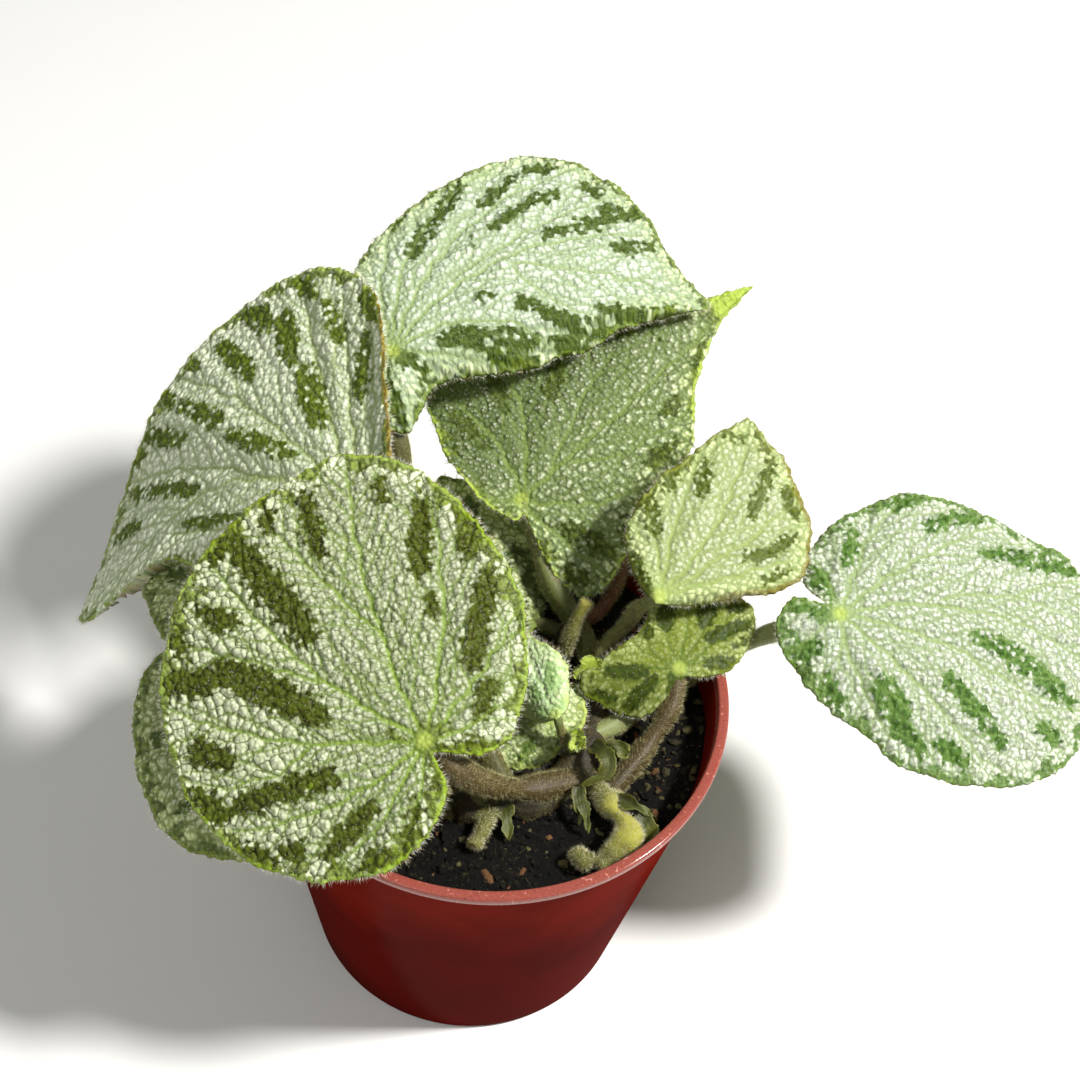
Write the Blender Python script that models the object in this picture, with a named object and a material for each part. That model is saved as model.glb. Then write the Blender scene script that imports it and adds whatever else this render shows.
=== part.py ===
"""Potted begonia: a plastic nursery pot, its potting mix, a creeping rhizome with its roots,
stipules and old stubs, and thirteen puckered leaves on hairy stalks.

Blender works in metres with +Z up. The origin is the centre of the pot's foot. The values below
are in millimetres and degrees, and MM turns them into metres.
"""

import math
from dataclasses import dataclass

import bmesh
import bpy
from mathutils import Matrix, Vector, noise

MM = 0.001
SLIVER = 0.02

# Driving dimensions of the pot
POT_HEIGHT = 96.0
RIM_RADIUS = 56.0
FOOT_RADIUS = 41.0
WALL = 1.2
FLOOR = 1.8
LIP_DEPTH = 2.6
LIP_WIDTH = 2.5
LIP_ROUND = 0.6
POT_SIDES = 48
DRAIN_HOLES = 6
DRAIN_RADIUS = 4.0
DRAIN_CIRCLE = 27.0

# Potting mix
MIX_LEVEL = 85.5
MIX_LUMP = 1.1
MIX_LUMP_SIZE = 9.0
MIX_SIDES = 40
MIX_RINGS = 6

# Rhizome and what grows on it
RHIZOME_WAY = [(-5, -29, 89.2), (8, -27, 89.6), (20, -19, 89.8), (25, -5, 89.8), (23, 12, 89.6), (16, 25, 89.2)]
RHIZOME_GIRTH = [3.2, 4.1, 4.5, 4.2, 4.0, 2.9]
BRANCH_WAY = [(22, -17, 89.6), (28, -22, 89.8), (33, -25, 90.4)]
BRANCH_GIRTH = [3.4, 3.6, 2.3]
ROOT_FEET = [(-1, -28), (13, -25), (24, -11), (24, 5), (19, 20)]
ROOT_LENGTH = 42.0
ROOT_GIRTH = [1.7, 0.8]
CLEARANCE = 0.3

# Leaves
BLADE = 0.8
NECK = 0.8
PUFF = 0.024
VEIN_DIP = 0.006
NET = 0.009
TOOTH = 0.7
LARGE_RINGS = (0.18, 0.42, 0.66, 0.86, 1.0)
SMALL_RINGS = (0.22, 0.50, 0.77, 1.0)
LARGE_LEAF = 45.0
RADIAL_WEIGHT = 0.35
CROWDED = 8.0
STEEPEST = 0.6


@dataclass
class Leaf:
    """One leaf. The blade has its own frame at the junction, where the stalk meets it: x runs
    along the midrib, y to its left and z out of the upper face. Margin points are (along,
    across, lift). The hook bends the tip sideways, and the stalk's way is in the pot's frame."""

    name: str
    junction: tuple
    heading: float
    rise: float
    roll: float
    tip: tuple
    left: list
    sinus: tuple
    right: list
    vein_spaces: tuple
    stalk: list
    girth: float
    hook: float = 0.0


LEAVES = [
    Leaf(
        "front_leaf", (-11, -33, 119), 115, 19, -16,
        tip=(69, 0, -4),
        left=[(64, 21, -4), (52, 41, -6), (30, 53, -8), (4, 53, -9), (-13, 42, -9), (-21, 28, -8), (-22, 11, -5),
              (-12, -1, -3)],
        sinus=(-3, -1, 0),
        right=[(-6, -14, -2), (4, -23, -3), (25, -28, -3), (46, -23, -3), (62, -12, -4)],
        vein_spaces=(5, 3), stalk=[(22, -20, 90), (12, -26, 94), (3, -31, 102), (-5, -34, 112)], girth=2.7,
    ),
    Leaf(
        "left_leaf", (-33, 20, 127), 169, -17, -31,
        tip=(89, 0, -30),
        left=[(81, 3, -26), (61, 4, -14), (50, 9, -12), (29, 20, -8), (10, 21, -6), (0, 12, -4)],
        sinus=(-2, 2, 0),
        right=[(-8, -3, 2), (-6, -16, 3), (-1, -35, 3), (5, -51, 1), (19, -59, -3), (32, -58, -5), (50, -50, -9),
               (63, -38, -10), (73, -25, -17), (81, -10, -25)],
        vein_spaces=(3, 5), stalk=[(0.5, -27.5, 91), (-12, -13, 97.5), (-25, 2, 109), (-31, 14, 120)], girth=2.2,
        hook=24,
    ),
    Leaf(
        "top_leaf", (-32, 58, 141), 19, 9, 13,
        tip=(78, 0, -12),
        left=[(72, 15, -10), (68, 31, -9), (58, 44, -7), (43, 51, -6), (23, 46, -4), (8, 37, -3), (-4, 26, -3),
              (-9, 9, -2)],
        sinus=(-3, -1, 0),
        right=[(-5, -15, -8), (0, -17, -9), (10, -7, -8), (28, -7, -10), (43, -5, -11), (61, -1, -11)],
        vein_spaces=(5, 3), stalk=[(7, -24.5, 91), (-6, -5, 95), (-17, 20, 105), (-26, 41, 116), (-29, 47, 126)],
        girth=2.2,
    ),
    Leaf(
        "middle_leaf", (2, 43, 112), 46, 27, 15,
        tip=(79, 0, -10),
        left=[(65, 7, -6), (49, 19, -4), (30, 31, -2), (12, 37, 0), (2, 35, 1), (-5, 22, 2), (-7, 6, 3), (-5, -3, 2)],
        sinus=(-2, -3, 0),
        right=[(-7, -17, -1), (-7, -25, -3), (-2, -29, -3), (11, -26, -4), (24, -20, -4), (38, -20, -4), (47, -11, -5),
               (58, -5, -6), (71, -1, -8)],
        vein_spaces=(4, 4), stalk=[(22, 17.5, 90.5), (18.5, 21.5, 94), (10, 30, 102)], girth=2.4,
    ),
    Leaf(
        "far_right_leaf", (78, 18, 115), 8, -6, 19,
        tip=(70, 0, -10),
        left=[(68, 15, -9), (58, 24, -8), (35, 33, -7), (20, 34, -6), (5, 27, -6), (-5, 17, -6), (-7, 8, -4)],
        sinus=(-3, 2, 0),
        right=[(-11, 3, -2), (-14, -6, -4), (-5, -18, -6), (7, -26, -8), (17, -33, -9), (32, -36, -10), (49, -34, -11),
               (62, -25, -12)],
        vein_spaces=(4, 4), stalk=[(25, -7.5, 90.2), (33, -0.8, 90), (45, 9, 93.5), (52, 14, 99), (60, 18, 101), (66, 18.5, 105.5)],
        girth=2.0,
    ),
    Leaf(
        "upper_right_leaf", (36, 14, 118), 69, 22, 11,
        tip=(50, 0, -4),
        left=[(35, 8, -2), (23, 13, -2), (10, 13, -3), (1, 5, -3)],
        sinus=(-2, 0, 0),
        right=[(2, -7, -4), (9, -16, -5), (14, -23, -5), (22, -28, -5), (34, -24, -5), (43, -14, -4), (47, -6, -4)],
        vein_spaces=(3, 4), stalk=[(25, 11.5, 91), (26, 15.5, 94.5), (30, 17, 102), (32, 16.8, 109)], girth=1.7,
    ),
    Leaf(
        "young_right_leaf", (43, 5, 104), 102, 15, -2,
        tip=(22, 0, 0),
        left=[(18, 5.5, 0), (13, 6, 0), (9, 9.5, -1), (5, 16, -2), (1, 22, -4), (-3, 22, -6), (-6, 17, -7), (-9, 10, -7),
              (-7, 4, -5)],
        sinus=(-2, -1, 0),
        right=[(-2, -6, -2), (0, -13, -2), (6, -18, -1), (14, -19, 0), (20, -13, 0), (23, -7, 0)],
        vein_spaces=(3, 3), stalk=[(31, -20, 90), (38, -9.5, 93), (42.5, -1, 98)], girth=2.2,
    ),
    Leaf(
        "new_centre_leaf", (16, -11, 102), 119, 15, -32,
        tip=(21, 0, -2),
        left=[(16, 4, -1), (9, 8, -2), (5, 8, -4), (1, 5, -3)],
        sinus=(-1, 0, 0),
        right=[(1, -3, -2), (6, -5, -3), (11, -6, -3), (16, -4, -2)],
        vein_spaces=(3, 3), stalk=[(21, -12, 91), (18, -12, 97)], girth=1.2,
    ),
    Leaf(
        "low_centre_leaf", (15, -7, 95), -146, -17, -14,
        tip=(19, 0, -3),
        left=[(15, 4, -3), (9, 8, -3), (1, 7, -3), (-6, 5, -3), (-9, 0, -3), (-9, -5, -3)],
        sinus=(-4, -2, 0),
        right=[(0, -8, -1), (8, -9, -2), (15, -5, -3)],
        vein_spaces=(3, 3), stalk=[(22, -4, 90), (19, -5, 92)], girth=1.2,
    ),
    Leaf(
        "low_left_leaf", (-46, -33, 104), -179, -15, -14,
        tip=(32, 0, -8),
        left=[(24, 13, -8), (14, 19, -8), (2, 20, -7), (-8, 13, -4)],
        sinus=(-5, 3, 0),
        right=[(-9, -6, -3), (-4, -17, -4), (10, -27, -5), (27, -30, -7), (35, -19, -8)],
        vein_spaces=(3, 4), stalk=[(-6, -31, 89.6), (-17, -34, 95), (-32, -33.5, 100.5)], girth=1.6,
    ),
    Leaf(
        "mid_left_leaf", (-55, 9, 100), 158, -10, 0,
        tip=(37, 0, -9),
        left=[(27, 8, -8), (14, 15, -5), (-2, 17, -1), (-8, 11, 0), (-8, 5, 0)],
        sinus=(-3, 0, 0),
        right=[(-6, -3, -1), (-2, -9, -2), (11, -18, -5), (30, -22, -9), (40, -15, -11)],
        vein_spaces=(3, 3), stalk=[(-6, -26.5, 90), (-20, -18, 92.5), (-38, -4, 97.5)], girth=1.4,
    ),
    Leaf(
        "back_left_leaf", (-4, 25, 98), 117, 14, -11,
        tip=(34, 0, -4),
        left=[(29, 11, -4), (18, 17, -4), (4, 15, -4), (-3, 8, -3)],
        sinus=(-2, 2, 0),
        right=[(-12, -1, -3), (-11, -10, -5), (-1, -15, -5), (13, -15, -4), (27, -9, -4)],
        vein_spaces=(3, 3), stalk=[(16, 21, 90.3), (9, 22, 92)], girth=1.4,
    ),
    Leaf(
        "back_right_leaf", (29, 44, 103), 90, 13, 6,
        tip=(40, 0, -5),
        left=[(32, 10, -4), (20, 16, -4), (6, 15, -4), (-3, 7, -3)],
        sinus=(-2, 1, 0),
        right=[(-2, -6, -3), (9, -13, -4), (23, -13, -4), (35, -8, -4)],
        vein_spaces=(3, 3), stalk=[(18, 25, 89.5), (24, 28, 91.5), (28, 36, 96)], girth=1.6,
    ),
]


@dataclass
class Shoot:
    """A stub or stipule on the rhizome: its way and its radius at each point."""

    way: list
    girth: list


SHOOTS = {
    "upright_stub": Shoot([(17, 13, 90), (18, 17, 98), (19, 20, 105)], [2.5, 2.2, 2.3]),
    "low_stub": Shoot([(4, -29, 89.5), (2, -35, 89.6), (-1, -41, 88.9)], [2.6, 2.3, 2.5]),
    "bent_stub": Shoot([(32, -25, 90.3), (36, -29, 90.6), (33, -35, 90.2), (28, -39, 89.5)], [2.2, 3.1, 3.4, 2.7]),
    "stub_knob": Shoot([(29, -38, 89.4), (26, -39, 88.8), (24, -37, 88.4)], [2.2, 2.4, 1.6]),
    "front_stipule": Shoot([(24, -21, 91), (24, -26, 91), (24, -31, 88)], [1.4, 1.3, 0.5]),
    "left_stipule": Shoot([(8, -28, 90), (9, -33, 89.5), (10, -37, 88)], [1.4, 1.2, 0.5]),
    "right_stipule": Shoot([(31, -22, 91), (36, -24, 92), (41, -26, 90)], [1.4, 1.2, 0.5]),
    "curled_stipule": Shoot([(25, -14, 91), (29, -14, 95), (27, -11, 98)], [1.6, 1.4, 0.5]),
    "back_stipule": Shoot([(23, 8, 91), (30, 9, 92), (35, 13, 94)], [1.4, 1.5, 0.6]),
    "crown_bud": Shoot([(24, -6, 91), (25, -8, 94), (25, -10, 98)], [2.0, 1.8, 0.7]),
    "small_bud": Shoot([(22, 6, 91), (23, 6, 95), (24, 6, 99)], [1.6, 1.4, 0.6]),
}


def clear_scene():
    for thing in list(bpy.data.objects):
        bpy.data.objects.remove(thing, do_unlink=True)


def material(name, colour, roughness, metallic=0.0):
    made = bpy.data.materials.new(name)
    made.use_nodes = True
    shader = made.node_tree.nodes["Principled BSDF"]
    shader.inputs["Base Color"].default_value = (*colour, 1.0)
    shader.inputs["Roughness"].default_value = roughness
    shader.inputs["Metallic"].default_value = metallic
    return made


def object_from(name, mesh, finish=None):
    thing = bpy.data.objects.new(name, mesh)
    bpy.context.collection.objects.link(thing)
    if finish:
        mesh.materials.append(finish)
    return thing


def helper(thing):
    """Marks an object that only shapes others."""
    thing.hide_render = True
    thing.display_type = "WIRE"
    return thing


def mesh_from(name, bm):
    mesh = bpy.data.meshes.new(name)
    bm.to_mesh(mesh)
    bm.free()
    return mesh


def smooth_path(points, per_span):
    """A curve through every given point, with per_span points from each to the next. No slope is
    longer than the shorter span beside it, so the curve doesn't swing out between close points."""
    points = [Vector(point) for point in points]
    ends = [2 * points[0] - points[1], *points, 2 * points[-1] - points[-2]]
    slopes = []
    for before, here, after in zip(ends, ends[1:], ends[2:]):
        slopes.append((after - before).normalized() * min((here - before).length, (after - here).length))
    path = []
    for here, after, leaving, arriving in zip(points, points[1:], slopes, slopes[1:]):
        for step in range(per_span):
            t = step / per_span
            blend = t * t * (3 - 2 * t)
            path.append(here.lerp(after, blend) + leaving * t * (1 - t) ** 2 - arriving * t * t * (1 - t))
    return path + [points[-1]]


def even_points(path, count):
    """Points along a margin at equal distances, without the last one. A stretch that runs straight
    away from the junction counts for less, because radial rows would crowd together there."""
    lengths = [0.0]
    for here, there in zip(path, path[1:]):
        outward = there.to_2d().length - here.to_2d().length
        around = here.to_2d().cross(there.to_2d()) / max(here.to_2d().length, BLADE)
        lengths.append(lengths[-1] + math.hypot(outward * RADIAL_WEIGHT, around))
    spaced = []
    span = 0
    for index in range(count):
        target = lengths[-1] * index / count
        while lengths[span + 1] < target:
            span += 1
        share = (target - lengths[span]) / (lengths[span + 1] - lengths[span])
        spaced.append(path[span].lerp(path[span + 1], share))
    return spaced


def tube_mesh(name, way, girths, per_span=3, extra=0.0):
    """A round tube with closed ends, along a smooth way through the given points."""
    rows = smooth_path([(*point, girth) for point, girth in zip(way, girths)], per_span)
    curve = bpy.data.curves.new(name, "CURVE")
    curve.dimensions = "3D"
    curve.bevel_depth = MM
    curve.bevel_resolution = 2
    curve.use_fill_caps = True
    spline = curve.splines.new("POLY")
    spline.points.add(len(rows) - 1)
    for point, row in zip(spline.points, rows):
        point.co = (row[0] * MM, row[1] * MM, row[2] * MM, 1.0)
        point.radius = row[3] + extra
    swept = object_from(name, curve)
    mesh = bpy.data.meshes.new_from_object(swept.evaluated_get(bpy.context.evaluated_depsgraph_get()))
    bpy.data.objects.remove(swept, do_unlink=True)
    bm = bmesh.new()
    bm.from_mesh(mesh)
    bmesh.ops.remove_doubles(bm, verts=bm.verts, dist=MM / 1000)
    bmesh.ops.recalc_face_normals(bm, faces=bm.faces)
    bm.to_mesh(mesh)
    bm.free()
    return mesh


def apply_modifiers(thing):
    """Applies the modifiers and dissolves the slivers that a Boolean leaves."""
    graph = bpy.context.evaluated_depsgraph_get()
    old = thing.data
    thing.data = bpy.data.meshes.new_from_object(thing.evaluated_get(graph))
    thing.data.name = thing.name
    thing.modifiers.clear()
    bpy.data.meshes.remove(old)
    bm = bmesh.new()
    bm.from_mesh(thing.data)
    bmesh.ops.remove_doubles(bm, verts=bm.verts, dist=SLIVER * MM)
    bmesh.ops.dissolve_degenerate(bm, edges=bm.edges, dist=SLIVER * MM)
    bmesh.ops.triangulate(bm, faces=bm.faces)
    strays = [face for face in bm.faces if len({near for edge in face.edges for near in edge.link_faces}) < 3]
    bmesh.ops.delete(bm, geom=strays, context="FACES")
    bm.to_mesh(thing.data)
    bm.free()


def join_meshes(thing, meshes):
    """One Boolean union of an object with every mesh in the list."""
    group = bpy.data.collections.new(thing.name + "_pieces")
    bpy.context.scene.collection.children.link(group)
    pieces = [bpy.data.objects.new(mesh.name, mesh) for mesh in meshes]
    for piece in pieces:
        group.objects.link(piece)
    union = thing.modifiers.new("join", "BOOLEAN")
    union.operation = "UNION"
    union.operand_type = "COLLECTION"
    union.collection = group
    bpy.context.view_layer.update()
    apply_modifiers(thing)
    for piece in pieces:
        bpy.data.objects.remove(piece, do_unlink=True)
    bpy.data.collections.remove(group)


def cut(thing, cutter):
    difference = thing.modifiers.new("cut_" + cutter.name, "BOOLEAN")
    difference.operation = "DIFFERENCE"
    difference.object = cutter


def turned_mesh(name, profile, sides):
    """A body turned round Z from a profile of (radius, height), which starts and ends on the axis."""
    bm = bmesh.new()
    corners = [bm.verts.new((radius * MM, 0.0, height * MM)) for radius, height in profile]
    edges = [bm.edges.new(pair) for pair in zip(corners, corners[1:])]
    bmesh.ops.spin(
        bm, geom=corners + edges, cent=(0, 0, 0), axis=(0, 0, 1), angle=math.tau, steps=sides, use_duplicate=False
    )
    bmesh.ops.remove_doubles(bm, verts=bm.verts, dist=MM / 100)
    bmesh.ops.recalc_face_normals(bm, faces=bm.faces)
    return mesh_from(name, bm)


def wall_radius(height):
    """Outer radius of the pot's wall under the lip."""
    top = POT_HEIGHT - LIP_DEPTH
    return FOOT_RADIUS + (RIM_RADIUS - LIP_WIDTH + WALL - 0.4 - FOOT_RADIUS) * height / top


def drain_cutter():
    bm = bmesh.new()
    for index in range(DRAIN_HOLES):
        angle = math.tau * index / DRAIN_HOLES
        place = Vector((math.cos(angle), math.sin(angle), 0)) * DRAIN_CIRCLE * MM
        bmesh.ops.create_cone(
            bm, cap_ends=True, segments=14, radius1=DRAIN_RADIUS * MM, radius2=DRAIN_RADIUS * MM,
            depth=4 * FLOOR * MM, matrix=Matrix.Translation(place),
        )
    return helper(object_from("drain_cutter", mesh_from("drain_cutter", bm)))


def make_pot():
    """A thin tapered wall with a flat floor, a turned-out lip and drain holes."""
    under_lip = POT_HEIGHT - LIP_DEPTH
    outer = wall_radius(under_lip)
    inner_rim = RIM_RADIUS - LIP_WIDTH
    profile = [
        (0, 0), (FOOT_RADIUS - 1.2, 0), (wall_radius(1.2), 1.2), (wall_radius(under_lip / 2), under_lip / 2),
        (outer, under_lip), (RIM_RADIUS - LIP_ROUND, under_lip + 0.2), (RIM_RADIUS, under_lip + 0.8),
        (RIM_RADIUS, POT_HEIGHT - LIP_ROUND), (RIM_RADIUS - LIP_ROUND, POT_HEIGHT),
        (inner_rim + LIP_ROUND, POT_HEIGHT), (inner_rim, POT_HEIGHT - LIP_ROUND), (outer - WALL, under_lip),
        (wall_radius(FLOOR + 1) - WALL, FLOOR + 1), (wall_radius(FLOOR) - WALL - 1, FLOOR), (0, FLOOR),
    ]
    pot = object_from(
        "pot", turned_mesh("pot", profile, POT_SIDES), material("terracotta_plastic", (0.42, 0.085, 0.055), 0.38)
    )
    cut(pot, drain_cutter())
    pot.data.shade_smooth()
    pot.data.set_sharp_from_angle(angle=math.radians(35))


def mix_height(x, y):
    """Height of the potting mix, with low lumps that die out at the wall."""
    return MIX_LEVEL + MIX_LUMP * noise.noise(Vector((x, y, 0)) / MIX_LUMP_SIZE)


def make_mix(cutter):
    """Potting mix that fills the pot and is grooved and holed for the rhizome and its roots."""
    bottom = FLOOR + CLEARANCE
    slope = 1 + CLEARANCE
    bm = bmesh.new()
    rings = []
    for ring in range(1, MIX_RINGS + 1):
        radius = (wall_radius(MIX_LEVEL) - WALL - CLEARANCE) * (ring / MIX_RINGS) ** 0.9
        row = []
        for side in range(MIX_SIDES):
            angle = math.tau * side / MIX_SIDES
            x, y = radius * math.cos(angle), radius * math.sin(angle)
            row.append((x, y, mix_height(x, y) if ring < MIX_RINGS else MIX_LEVEL))
        rings.append(row)
    for height, inset in ((bottom + slope, 0), (bottom, slope)):
        radius = wall_radius(height) - WALL - CLEARANCE - inset
        turn = [math.tau * side / MIX_SIDES for side in range(MIX_SIDES)]
        rings.append([(radius * math.cos(angle), radius * math.sin(angle), height) for angle in turn])
    verts = [[bm.verts.new(Vector(point) * MM) for point in row] for row in rings]
    top = bm.verts.new((0, 0, mix_height(0, 0) * MM))
    foot = bm.verts.new((0, 0, bottom * MM))
    for side in range(MIX_SIDES):
        after = (side + 1) % MIX_SIDES
        bm.faces.new((top, verts[0][side], verts[0][after]))
        bm.faces.new((foot, verts[-1][after], verts[-1][side]))
        for inner, outer in zip(verts, verts[1:]):
            bm.faces.new((inner[side], outer[side], outer[after]))
            bm.faces.new((inner[side], outer[after], inner[after]))
    mix = object_from("potting_mix", mesh_from("potting_mix", bm), material("potting_mix", (0.035, 0.025, 0.018), 0.95))
    cut(mix, cutter)


def rhizome_core(name, extra=0.0):
    """The creeping stem, its side branch and its anchor roots, each thicker by extra."""
    stem = object_from(name, tube_mesh("stem", RHIZOME_WAY, RHIZOME_GIRTH, 3, extra))
    parts = [tube_mesh("branch", BRANCH_WAY, BRANCH_GIRTH, 2, extra)]
    for x, y in ROOT_FEET:
        way = [(x, y, RHIZOME_WAY[0][2]), (x, y, RHIZOME_WAY[0][2] - ROOT_LENGTH - extra)]
        parts.append(tube_mesh("root", way, ROOT_GIRTH, 2, extra))
    join_meshes(stem, parts)
    return stem


def make_rhizome():
    rhizome = rhizome_core("rhizome")
    join_meshes(rhizome, [tube_mesh(name, shoot.way, shoot.girth, 2) for name, shoot in SHOOTS.items()])
    rhizome.data.materials.append(material("rhizome", (0.20, 0.15, 0.06), 0.8))


def margin_points(leaf, steps):
    """The blade's margin, with the same number of steps between two main veins."""
    left = smooth_path([leaf.tip, *leaf.left, leaf.sinus], 6)
    right = smooth_path([leaf.sinus, *leaf.right, leaf.tip], 6)
    left_count, right_count = (steps * spaces for spaces in leaf.vein_spaces)
    return even_points(left, left_count) + even_points(right, right_count)


def blade_point(leaf, edge, after, share, index, ring, steps):
    """A point of the upper face, at a share of the way from the junction to the margin. Its relief
    grows with the blade and shrinks where the rows to this margin point and the next are close."""
    reach = edge.to_2d().length
    relief = min(reach, CROWDED * abs(edge.to_2d().cross(after.to_2d())) / reach)
    if share == 1.0 and reach > 4 * TOOTH:
        edge = edge + Vector((edge.x, edge.y, 0)) / reach * TOOTH * (-1) ** index
    point = Vector((edge.x * share, edge.y * share, edge.z * share**2))
    point.y += leaf.hook * max(point.x / leaf.tip[0], 0) ** 3
    between = math.sin(math.pi * (index % steps) / steps) ** 2
    point.z += relief * (PUFF * between * math.sin(math.pi * share**0.7) - VEIN_DIP * (1 - between) * (1 - share))
    if share < 1.0:
        point.z += relief * NET * between * (-1) ** ring
    return point


def blade_mesh(leaf):
    """A thin puckered blade, split into the same triangles above and below."""
    large = leaf.tip[0] > LARGE_LEAF
    rings = LARGE_RINGS if large else SMALL_RINGS
    steps = 6 if large else 4
    margin = margin_points(leaf, steps)
    count = len(margin)
    bm = bmesh.new()
    rows = [[bm.verts.new((0, 0, 0))] * count]
    for ring, share in enumerate(rings):
        row = []
        for i, edge in enumerate(margin):
            point = blade_point(leaf, edge, margin[(i + 1) % count], share, i, ring, steps)
            row.append(bm.verts.new(point * MM))
        rows.append(row)
    triangles = []
    for i in range(count):
        after = (i + 1) % count
        triangles.append((rows[0][0], rows[1][i], rows[1][after]))
        for inner, outer in zip(rows[1:], rows[2:]):
            triangles.append((inner[i], outer[i], outer[after]))
            triangles.append((inner[i], outer[after], inner[after]))
    for corners in triangles:
        bm.faces.new(corners)
    bm.normal_update()
    under = {}
    for vert in list(bm.verts):
        deep = BLADE * MM / max(vert.normal.z, STEEPEST)
        under[vert] = bm.verts.new(vert.co - Vector((0, 0, deep)))
    for a, b, c in triangles:
        bm.faces.new((under[a], under[c], under[b]))
    for i in range(count):
        here, after = rows[-1][i], rows[-1][(i + 1) % count]
        bm.faces.new((here, under[here], under[after]))
        bm.faces.new((here, under[after], after))
    return mesh_from(leaf.name, bm)


def make_leaf(leaf, finish, cutter):
    """A blade set on its stalk, whose foot is scooped to sit on the rhizome."""
    turn = (
        Matrix.Rotation(math.radians(leaf.heading), 3, "Z")
        @ Matrix.Rotation(math.radians(-leaf.rise), 3, "Y")
        @ Matrix.Rotation(math.radians(leaf.roll), 3, "X")
    )
    junction = Vector(leaf.junction)
    thing = object_from(leaf.name, blade_mesh(leaf), finish)
    thing.matrix_world = Matrix.Translation(junction * MM) @ turn.to_4x4()
    outward = turn @ Vector((0, 0, 1))
    lean = (Vector(leaf.stalk[-1]) - junction).normalized()
    neck = junction + (lean - outward) * leaf.girth * NECK
    way = [*leaf.stalk, neck, junction - outward * BLADE / 2]
    girths = [leaf.girth * 1.1] + [leaf.girth] * (len(leaf.stalk) - 1) + [leaf.girth * 0.8, leaf.girth * 0.4]
    join_meshes(thing, [tube_mesh("stalk", way, girths, 2)])
    cut(thing, cutter)
    apply_modifiers(thing)


def make_part():
    clear_scene()
    make_pot()
    cutter = helper(rhizome_core("rhizome_clearance", CLEARANCE))
    make_mix(cutter)
    make_rhizome()
    green = material("begonia_leaf", (0.30, 0.42, 0.20), 0.55)
    for leaf in LEAVES:
        make_leaf(leaf, green, cutter)


make_part()
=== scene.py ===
"""Looks of the potted begonia: puckered, painted leaves on hairy stalks, a creeping rhizome,
potting mix and a turned plastic pot. Lengths are in millimetres until MM turns them to metres."""

import math
from dataclasses import dataclass, field
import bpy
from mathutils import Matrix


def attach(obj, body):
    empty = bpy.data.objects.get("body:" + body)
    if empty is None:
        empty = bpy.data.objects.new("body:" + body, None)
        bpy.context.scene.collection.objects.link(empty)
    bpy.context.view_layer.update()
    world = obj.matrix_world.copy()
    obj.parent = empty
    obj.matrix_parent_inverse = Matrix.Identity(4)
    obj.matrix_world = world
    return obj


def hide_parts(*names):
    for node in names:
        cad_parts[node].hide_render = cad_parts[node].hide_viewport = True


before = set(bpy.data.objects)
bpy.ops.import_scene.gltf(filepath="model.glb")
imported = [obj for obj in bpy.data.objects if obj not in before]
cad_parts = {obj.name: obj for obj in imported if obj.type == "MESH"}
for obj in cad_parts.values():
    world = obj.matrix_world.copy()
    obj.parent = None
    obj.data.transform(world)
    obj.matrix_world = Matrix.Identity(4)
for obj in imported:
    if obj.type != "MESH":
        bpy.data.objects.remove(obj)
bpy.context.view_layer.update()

from types import SimpleNamespace

import bmesh
import bpy
import numpy as np
from mathutils import Matrix, Vector, kdtree, noise

MM = 0.001

# Values that the solids share
POT_HEIGHT = 96.0
RIM_RADIUS = 56.0
FOOT_RADIUS = 41.0
WALL = 1.2
FLOOR = 1.8
LIP_DEPTH = 2.6
LIP_WIDTH = 2.5
LIP_ROUND = 0.6
UNDER_LIP = POT_HEIGHT - LIP_DEPTH
DRAIN_HOLES = 6
DRAIN_RADIUS = 4.0
DRAIN_CIRCLE = 27.0
MIX_LEVEL = 85.5
MIX_LUMP = 1.1
MIX_LUMP_SIZE = 9.0
CLEARANCE = 0.3
RHIZOME_WAY = [
    (-5, -29, 89.2), (8, -27, 89.6), (20, -19, 89.8), (25, -5, 89.8), (23, 12, 89.6), (16, 25, 89.2),
]
RHIZOME_GIRTH = [3.2, 4.1, 4.5, 4.2, 4.0, 2.9]
BRANCH_WAY = [(22, -17, 89.6), (28, -22, 89.8), (33, -25, 90.4)]
BRANCH_GIRTH = [3.4, 3.6, 2.3]
ROOT_FEET = [(-1, -28), (13, -25), (24, -11), (24, 5), (19, 20)]
ROOT_LENGTH = 42.0
ROOT_GIRTH = [1.7, 0.8]
NECK = 0.8

# Finer values of the pot, the mix and the rhizome
WALL_GAP = 0.1  # between the wall and the mix
CRUMBS = 2100
DARK_SHARE = 0.82  # of the crumbs, outside the lit, gritty patch
# The lit, gritty patch on the right of the mix has more pale crumbs: partly pale grit, partly painted light
# where the lamp falls
DARK_SHARE_IN_LIT_GRIT = 0.25
LIT_GRIT_PATCH_X, LIT_GRIT_PATCH_Y = (24, 56), (-32, 10)
BARK_SHARE = 0.05  # of the crumbs, half of them drawn out
FIBRES = 420
FIBRE = 0.08  # thickness
SINK = 1.0  # how much lower the rhizome lies than its solid
SLIM = 0.82  # and how much thinner it is
KNEE = (36.0, -30.0, 90.5)  # the bend of the bent stub, painted paler as painted light
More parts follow.
